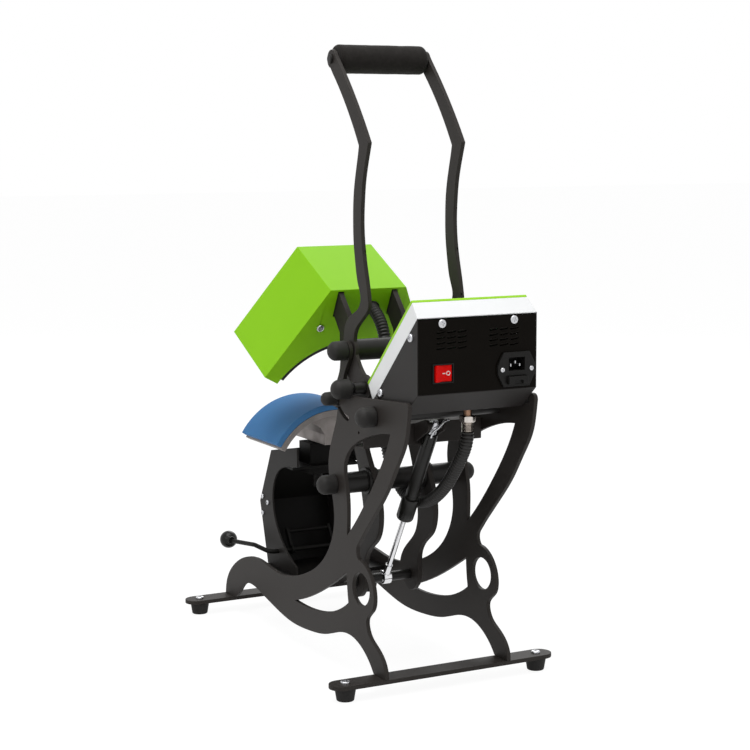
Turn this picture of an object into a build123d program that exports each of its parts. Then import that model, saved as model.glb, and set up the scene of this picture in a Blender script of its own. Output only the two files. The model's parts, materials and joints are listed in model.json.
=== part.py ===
from build123d import *
import os
from math import atan2, cos, degrees, pi, radians, sin, sqrt, tan

# Cap heat press: a hand-closed clam press with a curved platen for the front of a cap.
# Frame: +Z up, -Y towards the operator, +X to the operator's right, millimetres.
# The origin is on the bench, under the middle of the overall box.

os.makedirs("parts", exist_ok=True)

# ---------------------------------------------------------------- driving sizes
FIT = 0.05              # radial clearance of a pin or shaft in its hole
GAP = 0.5               # side clearance between moving plates

# base
FOOT_HEIGHT = 18.0
FOOT_TOP_R = 15.0
FOOT_BOTTOM_R = 12.0
FOOT_X = 152.2
BAR_THICK = 6.0
BAR_WIDTH = 34.0
BAR_HALF_LENGTH = 175.6
REAR_BAR_Y = 225.0
FRONT_BAR_Y = -288.3
FOOT_SCREW_R = 3.0
FOOT_SCREW_HEAD_R = 6.5
TENON_LENGTH = 20.0

# side plates
PLATE_INSIDE = 94.0
PLATE_THICK = 6.0
ROD_R = 6.0
CAP_R = 14.0
CAP_LENGTH = 26.0
STOP_SLOT_R = 42.0
STOP_SLOT_WIDTH = 7.0

# axes across the machine, as (y, z)
SWING_AXIS = (91.3, 269.0)
HANDLE_AXIS = (137.0, 410.0)
TIE_AXIS = (210.0, 381.0)
LINK_TOP = (95.0, 458.0)
LINK_FOOT = (67.0, 386.0)
SPRING_FOOT = (56.0, 116.0)
SPRING_TOP = (199.0, 360.0)
GRIP_AXIS = (41.0, 862.0)

# cross members
MID_TUBE_R = 15.0
MID_TUBE_BORE = 12.0
TIE_TUBE_R = 9.0
BEAM_Y = 141.0
BEAM_WIDTH = 28.0
BEAM_BOTTOM = 330.5
BEAM_HEIGHT = 29.5
BEAM_SHEET = 3.0
LUG_THICK = 4.0
SPRING_PIN_R = 4.0
SPRING_EYE_WIDTH = 12.0

# swing arms and handle
ARM_INSIDE = 40.0
ARM_THICK = 8.0
COLLAR_R = 19.0
COLLAR_WIDTH = 4.0
HANDLE_INSIDE = 70.4
HANDLE_THICK = 6.0
LINK_THICK = 6.0
LINK_SIDE_GAP = 1.0
LINK_END_R = 13.0
LINK_WAIST = 15.0
GRIP_TUBE_R = 11.0
GRIP_TUBE_BORE = 8.0
FOAM_R = 20.5
LOWER_BAR_R = 7.0
STOP_PIN_R = 3.0
STOP_KNOB_R = 10.0
STOP_KNOB_LENGTH = 22.0
STOP_ANGLE = 205.0

# gas spring
CYLINDER_R = 9.5
CYLINDER_BORE = 7.5
COLLAR_START = 129.0
CYLINDER_END = 168.5
SPRING_COLLAR_R = 12.5
ROD_DIAMETER = 8.0
EYE_R = 8.0

# heated head, tilted up when open
OPEN_TILT = 27.08
HEAD_Y = 7.1
HEAD_Z = 534.6
HEAD_DEPTH = 125.7
HEAD_TOP_HALF = 62.0
HEAD_FOOT_HALF = 137.7
HEAD_DROP = 145.5
HEAD_SHEET = 1.6
ARCH_R = 129.2
ARCH_CENTRE_DROP = 217.5
ARCH_HALF = 115.0
PLATEN_R = 119.0
PLATEN_THICK = 12.0
PLATEN_INSET = 6.0
PLATEN_HALF_ANGLE = 60.0
HANGER_DROP = 47.0
STUD_R = 4.0

# lower platen and pad
PAD_R = 116.7
PAD_THICK = 9.7
PAD_Z = 234.5
PAD_REAR_Y = -104.1
PAD_LENGTH = 130.4
PAD_HALF_ANGLE = 58.5
CASTING_THICK = 9.0
POST_Y = -168.0
POST_R = 8.0
POST_LENGTH = 86.0

# platen stand
STAND_HALF = 60.0
STAND_SHEET = 3.0
STAND_BASE_Z = 84.0
SHELF_Z = 247.0
HOUSING_WIDTH = 44.0
HOUSING_DEPTH = 40.0
HOUSING_BOTTOM = 236.0
HOUSING_TOP = 284.0
LEVER_AXIS = (-188.0, 111.0)
LEVER_R = 3.5
BALL_R = 14.0
BALL_X = 91.5
BALL_Y = -310.2
BALL_Z = 109.0

# control box
SPACER_LENGTH = 2.8
BOX_SHEET = 1.5
BOX_REAR_Y = 314.5
BOX_TOP_Z = 522.4
BOX_FLOOR_Z = 391.7
BOX_FOLD_RISE = 29.3
BOX_CORNER_Z = BOX_FLOOR_Z + BOX_FOLD_RISE
BOX_FLOOR_IN = 34.5
BOX_FLOOR_LENGTH = 80.0
TRAY_TILT = 44.8
TRAY_LENGTH = 174.0
TRAY_DEPTH = 27.0
TRAY_SHEET = 2.0
TRAY_TAPER = 3.2
FACE_THICK = 4.0
SCREW_HEAD_R = 5.8
SCREW_HEAD_HEIGHT = 3.0
ROCKER_X = 53.2
ROCKER_Z = 448.8
INLET_X = -58.0
INLET_Z = 448.2
REAR_REACH = 9.7
BUTTON_R = 7.0
BUTTON_TRAVEL = 1.5
GLAND_X = -30.0
GLAND_IN = 76.5
GLAND_Y = BOX_REAR_Y - GLAND_IN
GLAND_NUT_TOP = 377.0
GLAND_BOTTOM = 354.0
CONDUIT_R = 9.3

# ---------------------------------------------------------------- derived places
BAR_TOP = FOOT_HEIGHT + BAR_THICK
PLATE_OUTSIDE = PLATE_INSIDE + PLATE_THICK
BOX_HALF = PLATE_INSIDE - SPACER_LENGTH
TRAY_FRONT_HALF = BOX_HALF - TRAY_TAPER
HANDLE_OUTSIDE = HANDLE_INSIDE + HANDLE_THICK
ARM_OUTSIDE = ARM_INSIDE + ARM_THICK
LINK_INSIDE = HANDLE_OUTSIDE + LINK_SIDE_GAP
LINK_OUTSIDE = LINK_INSIDE + LINK_THICK
HEAD_SIN = sin(radians(OPEN_TILT))
HEAD_COS = cos(radians(OPEN_TILT))
HEAD_PLANE = Plane(origin=(0, HEAD_Y, HEAD_Z), x_dir=(1, 0, 0), z_dir=(0, -HEAD_COS, HEAD_SIN))
TRAY_SIN = sin(radians(TRAY_TILT))
TRAY_COS = cos(radians(TRAY_TILT))
TRAY_MID_Y = BOX_REAR_Y - TRAY_LENGTH / 2 * TRAY_COS
TRAY_MID_Z = BOX_TOP_Z - TRAY_LENGTH / 2 * TRAY_SIN
TRAY_PLANE = Plane(origin=(0, TRAY_MID_Y, TRAY_MID_Z), x_dir=(1, 0, 0), z_dir=(0, -TRAY_SIN, TRAY_COS))
FACE_PLANE = TRAY_PLANE.offset(TRAY_DEPTH)
REAR_PLANE = Plane(origin=(0, BOX_REAR_Y, 0), x_dir=(-1, 0, 0), z_dir=(0, 1, 0))


# ---------------------------------------------------------------- shared shapes
def across(x):
    """A plane square to X at x, whose own axes are Y and Z."""
    return Plane.YZ.offset(x)


def turned(profile, axis):
    """A solid turned about a line along X at axis, from (x, radius) pairs."""
    y, z = axis
    with BuildSketch(Plane(origin=(0, y, z), x_dir=(1, 0, 0), z_dir=(0, -1, 0))) as outline:
        with BuildLine():
            Polyline((profile[0][0], 0), *profile, (profile[-1][0], 0), close=True)
        make_face()
    revolve(outline.sketch, axis=Axis((0, y, z), (1, 0, 0)), revolution_arc=360)


def rod(start, end, radius, axis):
    """A plain round bar along X."""
    turned([(start, radius), (end, radius)], axis)


def sleeve(start, end, radius, bore, axis):
    """A round tube along X."""
    with BuildSketch(across(start)) as outline:
        with Locations(axis):
            Circle(radius)
            Circle(bore, mode=Mode.SUBTRACT)
    extrude(outline.sketch, amount=end - start)


def domed_cap(face, side, axis, radius, length, bore, depth):
    """A rubber cap with a domed end, pushed over the end of a rod, on either side."""
    y, z = axis
    tip = face + side * length
    shoulder = face + side * (length - radius * 0.62)
    with BuildSketch(Plane(origin=(0, y, z), x_dir=(1, 0, 0), z_dir=(0, -1, 0))) as outline:
        with BuildLine():
            Line((face, bore), (face, radius - 1.5))
            Line((face, radius - 1.5), (face + side * 1.5, radius))
            Line((face + side * 1.5, radius), (shoulder, radius - 0.5))
            ThreePointArc((shoulder, radius - 0.5), (tip - side * radius * 0.2, radius * 0.7), (tip, radius * 0.3))
            Line((tip, radius * 0.3), (tip, 0))
            Line((tip, 0), (face + side * depth, 0))
            Line((face + side * depth, 0), (face + side * depth, bore))
            Line((face + side * depth, bore), (face, bore))
        make_face()
    revolve(outline.sketch, axis=Axis((0, y, z), (1, 0, 0)), revolution_arc=360)


def pan_screw(place, shank, length):
    """A pan-head screw on a plane: the head above it and the shank below."""
    with BuildSketch(place) as outline:
        Circle(SCREW_HEAD_R)
    extrude(outline.sketch, amount=SCREW_HEAD_HEIGHT, taper=22)
    with BuildSketch(place) as outline:
        Circle(shank)
    extrude(outline.sketch, amount=-length)


def polar(centre, radius, angle):
    """The point at an angle on a circle in the side view."""
    return (centre[0] + radius * cos(radians(angle)), centre[1] + radius * sin(radians(angle)))


def head_point(depth, drop):
    """A side-view point of the head, by its depth from the rear face and its drop below the top."""
    return (HEAD_Y - HEAD_COS * depth - HEAD_SIN * drop, HEAD_Z + HEAD_SIN * depth - HEAD_COS * drop)


def save(part, name):
    """Labels one piece and writes it."""
    part.label = name
    export_step(part, "parts/" + name + ".step")


# ---------------------------------------------------------------- base
BARS = (FRONT_BAR_Y, REAR_BAR_Y)
FRONT_TENON_Y = FRONT_BAR_Y
REAR_TENON_Y = REAR_BAR_Y

with BuildPart() as base_bars:
    for bar_y in BARS:
        with BuildSketch(Plane.XY.offset(FOOT_HEIGHT)):
            with Locations((0, bar_y)):
                SlotOverall(2 * BAR_HALF_LENGTH, BAR_WIDTH)
                with Locations((FOOT_X, 0), (-FOOT_X, 0)):
                    Circle(FOOT_SCREW_R + FIT, mode=Mode.SUBTRACT)
                plate_mid = PLATE_INSIDE + PLATE_THICK / 2
                with Locations((plate_mid, 0), (-plate_mid, 0)):
                    Rectangle(PLATE_THICK + 2 * FIT, TENON_LENGTH + 2 * FIT, mode=Mode.SUBTRACT)
        extrude(amount=BAR_THICK)
save(base_bars.part, "base_bars")

with BuildPart() as rubber_feet:
    for bar_y in BARS:
        for foot_x in (FOOT_X, -FOOT_X):
            with BuildSketch(Plane.XY):
                with Locations((foot_x, bar_y)):
                    Circle(FOOT_BOTTOM_R)
            with BuildSketch(Plane.XY.offset(FOOT_HEIGHT)):
                with Locations((foot_x, bar_y)):
                    Circle(FOOT_TOP_R)
            loft()
            with BuildSketch(Plane.XY.offset(FOOT_HEIGHT)):
                with Locations((foot_x, bar_y)):
                    Circle(FOOT_SCREW_R + FIT)
            extrude(amount=-FOOT_HEIGHT * 0.7, mode=Mode.SUBTRACT)
save(rubber_feet.part, "rubber_feet")

with BuildPart() as foot_screws:
    for bar_y in BARS:
        for foot_x in (FOOT_X, -FOOT_X):
            with BuildSketch(Plane.XY.offset(BAR_TOP)):
                with Locations((foot_x, bar_y)):
                    Circle(FOOT_SCREW_HEAD_R)
            extrude(amount=SCREW_HEAD_HEIGHT, taper=22)
            with BuildSketch(Plane.XY.offset(BAR_TOP)):
                with Locations((foot_x, bar_y)):
                    Circle(FOOT_SCREW_R)
            extrude(amount=-BAR_THICK - FOOT_HEIGHT * 0.6)
save(foot_screws.part, "foot_screws")


# ---------------------------------------------------------------- side plates
STOP_SLOT_LINE = Edge.make_three_point_arc(*[Vector(*polar(HANDLE_AXIS, STOP_SLOT_R, angle)) for angle in (190, 226, 264)])


def side_plate(x):
    """One cut side plate: a leaning post, a sweeping front foot, a rear leg and cut-outs."""
    front_toe = FRONT_BAR_Y - BAR_WIDTH / 2
    with BuildSketch(across(x)) as outline:
        with BuildLine():
            Line((297, 411), (101, 397))
            Spline((101, 397), (97, 361), (81, 328), (72, 290), (82, 255), (89, 218), (77, 181), (43, 145),
                   (-14, 116.5), (-70, 102), (-113, 99.8), (-170, 105.4), (-226, 98.2), (-266, 80),
                   (-299, 48), (front_toe, BAR_TOP))
            Line((front_toe, BAR_TOP), (FRONT_BAR_Y + 20, BAR_TOP))
            Spline((FRONT_BAR_Y + 20, BAR_TOP), (-251, 36), (-235, 51), (-200, 59.5), (-162, 53), (-125, 45),
                   (-60, 34.5), (8, 36), (64, 45), (112, 59.5), (143, 61), (180, 48), (REAR_BAR_Y - 18, BAR_TOP))
            Line((REAR_BAR_Y - 18, BAR_TOP), (REAR_BAR_Y + BAR_WIDTH / 2, BAR_TOP))
            Spline((REAR_BAR_Y + BAR_WIDTH / 2, BAR_TOP), (238, 42), (215, 62), (192, 77), (187, 94), (205, 113),
                   (209, 135), (198, 158), (163, 175))
            ThreePointArc((163, 175), (157.5, 184), (162, 196))
            Spline((162, 196), (193, 229), (216, 252), (248, 287), (273, 322), (297, 360), (304, 389), (306, 401))
            ThreePointArc((306, 401), (304.5, 408), (297, 411))
        make_face()
        with BuildLine():
            Spline((129.5, 203), (130.5, 225), (128.5, 261), (122, 286), (122, 304))
            Spline((122, 304), (131, 318), (145, 330), (176, 345), (223, 359), (257, 364))
            Spline((257, 364), (240, 332), (202, 280), (154, 226), (129.5, 203))
        make_face(mode=Mode.SUBTRACT)
        with BuildLine():
            Spline((-42, 70.5), (-8, 81.7), (42, 103), (101, 134), (127, 149))
            Spline((127, 149), (128.5, 128), (132, 107))
            Spline((132, 107), (91, 86), (62, 77.5), (25, 71.5), (-8, 69.6), (-42, 70.5))
        make_face(mode=Mode.SUBTRACT)
        with Locations(Location((170.5, 134.6), 10)):
            Ellipse(25.6, 23, mode=Mode.SUBTRACT)
        SlotArc(arc=STOP_SLOT_LINE, height=STOP_SLOT_WIDTH, mode=Mode.SUBTRACT)
        with Locations(SWING_AXIS, HANDLE_AXIS, TIE_AXIS):
            Circle(ROD_R + FIT, mode=Mode.SUBTRACT)
        with Locations((166, 353)):
            Circle(2, mode=Mode.SUBTRACT)
    extrude(outline.sketch, amount=PLATE_THICK)
    for tenon_y in (FRONT_TENON_Y, REAR_TENON_Y):
        with BuildSketch(Plane.XY.offset(FOOT_HEIGHT)) as outline:
            with Locations((x + PLATE_THICK / 2, tenon_y)):
                Rectangle(PLATE_THICK, TENON_LENGTH)
        extrude(outline.sketch, amount=BAR_THICK)


with BuildPart() as side_plate_right:
    side_plate(PLATE_INSIDE)
save(side_plate_right.part, "side_plate_right")

with BuildPart() as side_plate_left:
    side_plate(-PLATE_OUTSIDE)
save(side_plate_left.part, "side_plate_left")

# ---------------------------------------------------------------- cross members
CAP_BORE_DEPTH = 18.0
ROD_REACH = PLATE_OUTSIDE + CAP_BORE_DEPTH - 1

with BuildPart() as tie_rods:
    for rod_axis in (SWING_AXIS, HANDLE_AXIS, TIE_AXIS):
        rod(-ROD_REACH, ROD_REACH, ROD_R, rod_axis)
save(tie_rods.part, "tie_rods")

with BuildPart() as dome_caps:
    for rod_axis in (SWING_AXIS, HANDLE_AXIS, TIE_AXIS):
        for side in (1, -1):
            domed_cap(side * PLATE_OUTSIDE, side, rod_axis, CAP_R, CAP_LENGTH, ROD_R + FIT, CAP_BORE_DEPTH)
save(dome_caps.part, "dome_caps")

with BuildPart() as mid_tube:
    sleeve(-PLATE_INSIDE, PLATE_INSIDE, MID_TUBE_R, MID_TUBE_BORE, SWING_AXIS)
save(mid_tube.part, "mid_tube")

with BuildPart() as rear_tie_tube:
    sleeve(-PLATE_INSIDE, PLATE_INSIDE, TIE_TUBE_R, ROD_R + FIT, TIE_AXIS)
save(rear_tie_tube.part, "rear_tie_tube")

with BuildPart() as pivot_collars:
    for side in (1, -1):
        for edge in (ARM_INSIDE - GAP - COLLAR_WIDTH, ARM_OUTSIDE + GAP):
            start = edge if side > 0 else -edge - COLLAR_WIDTH
            sleeve(start, start + COLLAR_WIDTH, COLLAR_R, MID_TUBE_R, SWING_AXIS)
save(pivot_collars.part, "pivot_collars")

with BuildPart() as pivot_sleeves:
    inner_end = HANDLE_INSIDE - GAP
    outer_start = HANDLE_OUTSIDE + GAP
    sleeve(-inner_end, inner_end, TIE_TUBE_R, ROD_R + FIT, HANDLE_AXIS)
    sleeve(outer_start, PLATE_INSIDE, TIE_TUBE_R, ROD_R + FIT, HANDLE_AXIS)
    sleeve(-PLATE_INSIDE, -outer_start, TIE_TUBE_R, ROD_R + FIT, HANDLE_AXIS)
save(pivot_sleeves.part, "pivot_sleeves")

BEAM_REAR = BEAM_Y + BEAM_WIDTH
BEAM_TOP = BEAM_BOTTOM + BEAM_HEIGHT

with BuildPart() as cross_beam:
    with BuildSketch(across(-PLATE_INSIDE)):
        with Locations((BEAM_Y + BEAM_WIDTH / 2, BEAM_BOTTOM + BEAM_HEIGHT / 2)):
            Rectangle(BEAM_WIDTH, BEAM_HEIGHT)
        with Locations((BEAM_Y + BEAM_WIDTH / 2 - BEAM_SHEET, BEAM_BOTTOM + BEAM_HEIGHT / 2)):
            Rectangle(BEAM_WIDTH, BEAM_HEIGHT - 2 * BEAM_SHEET, mode=Mode.SUBTRACT)
    extrude(amount=2 * PLATE_INSIDE)
save(cross_beam.part, "cross_beam")

LUG_START = CYLINDER_R + 1
PIN_SHOULDER = SPRING_EYE_WIDTH / 2 + GAP

with BuildPart() as spring_bracket:
    for start in (LUG_START, -LUG_START - LUG_THICK):
        with BuildSketch(across(start)):
            with Locations(SPRING_TOP):
                Circle(EYE_R + 1)
            with BuildLine():
                Polyline((BEAM_REAR, BEAM_BOTTOM + 3), (BEAM_REAR, BEAM_TOP), (SPRING_TOP[0] - 2, SPRING_TOP[1] + 8.7),
                         (SPRING_TOP[0] + 5, SPRING_TOP[1] - 7), close=True)
            make_face()
        extrude(amount=LUG_THICK)
    turned([(-LUG_START - LUG_THICK, SPRING_PIN_R + 2), (-PIN_SHOULDER, SPRING_PIN_R + 2), (-PIN_SHOULDER, SPRING_PIN_R),
            (PIN_SHOULDER, SPRING_PIN_R), (PIN_SHOULDER, SPRING_PIN_R + 2), (LUG_START + LUG_THICK, SPRING_PIN_R + 2)],
           SPRING_TOP)
save(spring_bracket.part, "spring_bracket")

# ---------------------------------------------------------------- gas spring
SPRING_RISE = SPRING_TOP[1] - SPRING_FOOT[1]
SPRING_RUN = SPRING_TOP[0] - SPRING_FOOT[0]
SPRING_LENGTH = sqrt(SPRING_RISE ** 2 + SPRING_RUN ** 2)
SPRING_DIR = (0, -SPRING_RUN / SPRING_LENGTH, -SPRING_RISE / SPRING_LENGTH)
SPRING_PLANE = Plane(origin=(0, *SPRING_TOP), x_dir=(1, 0, 0), z_dir=SPRING_DIR)
ROD_HEAD = COLLAR_START - 38
PISTON_THICK = 8.0
# The lower eye is wide of its pin: this pivot is left open, and takes the small change of radius.
OPEN_EYE_BORE = SPRING_PIN_R + 2.4

with BuildPart() as gas_cylinder:
    with BuildSketch(SPRING_PLANE.offset(EYE_R + 4)):
        Circle(CYLINDER_R)
    extrude(amount=CYLINDER_END - EYE_R - 4)
    with BuildSketch(SPRING_PLANE.offset(COLLAR_START)):
        Circle(SPRING_COLLAR_R)
    extrude(amount=CYLINDER_END - COLLAR_START)
    with BuildSketch(SPRING_PLANE.offset(EYE_R + 12)):
        Circle(CYLINDER_BORE)
    extrude(amount=CYLINDER_END - 12 - EYE_R - 12, mode=Mode.SUBTRACT)
    with BuildSketch(SPRING_PLANE.offset(CYLINDER_END - 14)):
        Circle(ROD_DIAMETER / 2 + FIT)
    extrude(amount=16, mode=Mode.SUBTRACT)
    with BuildSketch(SPRING_PLANE):
        Rectangle(SPRING_EYE_WIDTH, 9)
    extrude(amount=EYE_R + 5)
    sleeve(-SPRING_EYE_WIDTH / 2, SPRING_EYE_WIDTH / 2, EYE_R, SPRING_PIN_R / 2, SPRING_TOP)
    with BuildSketch(across(-SPRING_EYE_WIDTH)):
        with Locations(SPRING_TOP):
            Circle(SPRING_PIN_R + FIT)
    extrude(amount=2 * SPRING_EYE_WIDTH, mode=Mode.SUBTRACT)
save(gas_cylinder.part, "gas_cylinder")

with BuildPart() as gas_rod:
    with BuildSketch(SPRING_PLANE.offset(ROD_HEAD)):
        Circle(ROD_DIAMETER / 2)
    extrude(amount=SPRING_LENGTH - ROD_HEAD - OPEN_EYE_BORE - 1)
    with BuildSketch(SPRING_PLANE.offset(ROD_HEAD)):
        Circle(CYLINDER_BORE - 0.1)
    extrude(amount=PISTON_THICK)
    with BuildSketch(SPRING_PLANE.offset(SPRING_LENGTH - 24)):
        Circle(5.5)
    extrude(amount=16)
    sleeve(-SPRING_EYE_WIDTH / 2, SPRING_EYE_WIDTH / 2, OPEN_EYE_BORE + 3.6, 1, SPRING_FOOT)
    with BuildSketch(across(-SPRING_EYE_WIDTH)):
        with Locations(SPRING_FOOT):
            Circle(OPEN_EYE_BORE)
    extrude(amount=2 * SPRING_EYE_WIDTH, mode=Mode.SUBTRACT)
save(gas_rod.part, "gas_rod")


# ---------------------------------------------------------------- swing arms
def swing_arm(x):
    """One arm: a waved tail below the pivot and a straight neck that bends into the head."""
    with BuildSketch(across(x)) as outline:
        with BuildLine():
            Spline((42, 98), (28, 112), (27, 130), (40, 152), (56, 166), (72, 182), (80, 206), (74, 245), (63, 282),
                   (52, 307))
            Polyline((52, 307), (6, 460), (6, 473), head_point(0, 43), head_point(100, 43), head_point(100, 5),
                     head_point(0, 5), (32, 500), (86, 312))
            Spline((86, 312), (103, 286), (118, 262), (126, 240), (128, 215), (118, 189), (95, 170), (82, 150),
                   (82, 122), (72, 100))
            ThreePointArc((72, 100), (57, 92), (42, 98))
        make_face()
        with Locations(LINK_FOOT):
            Circle(15)
        with Locations(SWING_AXIS):
            Circle(MID_TUBE_R + FIT, mode=Mode.SUBTRACT)
        with Locations(LINK_FOOT, SPRING_FOOT):
            Circle(ROD_R + FIT, mode=Mode.SUBTRACT)
    extrude(outline.sketch, amount=ARM_THICK)


with BuildPart() as swing_arms:
    swing_arm(ARM_INSIDE)
    swing_arm(-ARM_OUTSIDE)
save(swing_arms.part, "swing_arms")

with BuildPart() as lower_bar:
    neck = SPRING_EYE_WIDTH / 2 + 2
    turned([(-ARM_OUTSIDE - 5, 9), (-ARM_OUTSIDE, 9), (-ARM_OUTSIDE, ROD_R), (-ARM_INSIDE, ROD_R),
            (-ARM_INSIDE, LOWER_BAR_R), (-neck, LOWER_BAR_R), (-neck, SPRING_PIN_R), (neck, SPRING_PIN_R),
            (neck, LOWER_BAR_R), (ARM_INSIDE, LOWER_BAR_R), (ARM_INSIDE, ROD_R), (ARM_OUTSIDE, ROD_R),
            (ARM_OUTSIDE, 9), (ARM_OUTSIDE + 5, 9)], SPRING_FOOT)
save(lower_bar.part, "lower_bar")

with BuildPart() as toggle_shaft:
    flange = 10.5
    start = LINK_INSIDE - GAP - 4
    turned([(-LINK_OUTSIDE - GAP - 4, flange), (-LINK_OUTSIDE - GAP, flange), (-LINK_OUTSIDE - GAP, ROD_R),
            (-LINK_INSIDE + GAP, ROD_R), (-LINK_INSIDE + GAP, flange), (-start, flange), (-start, ROD_R),
            (start, ROD_R), (start, flange), (LINK_INSIDE - GAP, flange), (LINK_INSIDE - GAP, ROD_R),
            (LINK_OUTSIDE + GAP, ROD_R), (LINK_OUTSIDE + GAP, flange), (LINK_OUTSIDE + GAP + 4, flange)], LINK_FOOT)
save(toggle_shaft.part, "toggle_shaft")

# ---------------------------------------------------------------- heated head
SIDE_SLOPE = (HEAD_FOOT_HALF - HEAD_TOP_HALF) / HEAD_DROP
SIDE_WALL = HEAD_SHEET * sqrt(1 + SIDE_SLOPE ** 2)
ARCH_END_DROP = ARCH_CENTRE_DROP - sqrt(ARCH_R ** 2 - ARCH_HALF ** 2)
ARM_MID = ARM_INSIDE + ARM_THICK / 2
HEAD_SCREW_X = 65.6
HEAD_SCREW_DROP = 63.8
HEAD_GLAND_X = -12.0
HEAD_GLAND_DROP = 32.0
HEAD_GLAND_R = 11.0
HEAD_GLAND_PROUD = 4.0

with BuildPart() as head_cover:
    with BuildSketch(HEAD_PLANE):
        with BuildLine():
            Polyline((-ARCH_HALF, -ARCH_END_DROP), (-HEAD_FOOT_HALF, -HEAD_DROP), (-HEAD_TOP_HALF, 0),
                     (HEAD_TOP_HALF, 0), (HEAD_FOOT_HALF, -HEAD_DROP), (ARCH_HALF, -ARCH_END_DROP))
            ThreePointArc((ARCH_HALF, -ARCH_END_DROP), (0, ARCH_R - ARCH_CENTRE_DROP), (-ARCH_HALF, -ARCH_END_DROP))
        make_face()
    extrude(amount=HEAD_DEPTH)
    with BuildSketch(HEAD_PLANE.offset(HEAD_SHEET)):
        top_half = HEAD_TOP_HALF + SIDE_SLOPE * HEAD_SHEET - SIDE_WALL
        foot_half = HEAD_FOOT_HALF - SIDE_SLOPE * HEAD_SHEET - SIDE_WALL
        with BuildLine():
            Polyline((-ARCH_HALF + 1, -ARCH_END_DROP + 2.4), (-foot_half, -HEAD_DROP + HEAD_SHEET),
                     (-top_half, -HEAD_SHEET), (top_half, -HEAD_SHEET), (foot_half, -HEAD_DROP + HEAD_SHEET),
                     (ARCH_HALF - 1, -ARCH_END_DROP + 2.4), close=True)
        make_face()
    extrude(amount=HEAD_DEPTH - 2 * HEAD_SHEET, mode=Mode.SUBTRACT)
    with BuildSketch(HEAD_PLANE.offset(-1)):
        with Locations((ARM_MID, -24.5), (-ARM_MID, -24.5)):
            Rectangle(ARM_THICK + 2, 43)
        with Locations((HEAD_GLAND_X, -HEAD_GLAND_DROP)):
            Circle(CONDUIT_R)
        with Locations((HEAD_SCREW_X, -HEAD_SCREW_DROP), (-HEAD_SCREW_X, -HEAD_SCREW_DROP)):
            Circle(2 + FIT)
    extrude(amount=HEAD_SHEET + 2, mode=Mode.SUBTRACT)
save(head_cover.part, "head_cover")

STUD_DEPTHS = (32.0, 94.0)
STUD_X = 30.0
STUD_FOOT_DROP = ARCH_CENTRE_DROP - PLATEN_R - PLATEN_THICK + 10
HEAD_TOP_VIEW = Plane(origin=(0, HEAD_Y, HEAD_Z), x_dir=(1, 0, 0), z_dir=(0, HEAD_SIN, HEAD_COS))

with BuildPart() as heat_platen:
    with BuildSketch(HEAD_PLANE.offset(PLATEN_INSET)):
        outer_r = PLATEN_R + PLATEN_THICK
        centre = (0, -ARCH_CENTRE_DROP)
        high = 90 - PLATEN_HALF_ANGLE
        low = 90 + PLATEN_HALF_ANGLE
        with BuildLine():
            ThreePointArc(polar(centre, outer_r, high), polar(centre, outer_r, 90), polar(centre, outer_r, low))
            Line(polar(centre, outer_r, low), polar(centre, PLATEN_R, low))
            ThreePointArc(polar(centre, PLATEN_R, low), polar(centre, PLATEN_R, 90), polar(centre, PLATEN_R, high))
            Line(polar(centre, PLATEN_R, high), polar(centre, outer_r, high))
        make_face()
    extrude(amount=HEAD_DEPTH - 2 * PLATEN_INSET)
    with BuildSketch(HEAD_TOP_VIEW.offset(-STUD_FOOT_DROP - 1)):
        for stud_depth in STUD_DEPTHS:
            with Locations((STUD_X, -stud_depth), (-STUD_X, -stud_depth)):
                Circle(STUD_R + FIT)
    extrude(amount=30, mode=Mode.SUBTRACT)
save(heat_platen.part, "heat_platen")

with BuildPart() as platen_hanger:
    with BuildSketch(HEAD_TOP_VIEW.offset(-HANGER_DROP)):
        with Locations((0, -(STUD_DEPTHS[0] + STUD_DEPTHS[1]) / 2)):
            Rectangle(2 * ARM_OUTSIDE + 8, STUD_DEPTHS[1] - STUD_DEPTHS[0] + 24)
    extrude(amount=HANGER_DROP - 43)
    with BuildSketch(HEAD_TOP_VIEW.offset(-STUD_FOOT_DROP)):
        for stud_depth in STUD_DEPTHS:
            with Locations((STUD_X, -stud_depth), (-STUD_X, -stud_depth)):
                Circle(STUD_R)
    extrude(amount=STUD_FOOT_DROP - HANGER_DROP)
save(platen_hanger.part, "platen_hanger")

with BuildPart() as head_screws:
    for screw_x in (HEAD_SCREW_X, -HEAD_SCREW_X):
        rear_face = Plane(origin=HEAD_PLANE.from_local_coords((screw_x, -HEAD_SCREW_DROP, 0)),
                          x_dir=(1, 0, 0), z_dir=(0, HEAD_COS, -HEAD_SIN))
        pan_screw(rear_face, 2, 10)
save(head_screws.part, "head_screws")

with BuildPart() as head_gland:
    gland_face = Plane(origin=HEAD_PLANE.from_local_coords((HEAD_GLAND_X, -HEAD_GLAND_DROP, 0)),
                       x_dir=(1, 0, 0), z_dir=(0, HEAD_COS, -HEAD_SIN))
    with BuildSketch(gland_face):
        Circle(HEAD_GLAND_R)
    extrude(amount=HEAD_GLAND_PROUD)
    with BuildSketch(gland_face):
        Circle(CONDUIT_R - FIT)
    extrude(amount=-8)
    with BuildSketch(gland_face.offset(HEAD_GLAND_PROUD)):
        Circle(4)
    extrude(amount=-HEAD_GLAND_PROUD - 8, mode=Mode.SUBTRACT)
save(head_gland.part, "head_gland")


# ---------------------------------------------------------------- handle
EYE_TOP_R = 13.0
STOP_POINT = polar(HANDLE_AXIS, STOP_SLOT_R, STOP_ANGLE)


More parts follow.
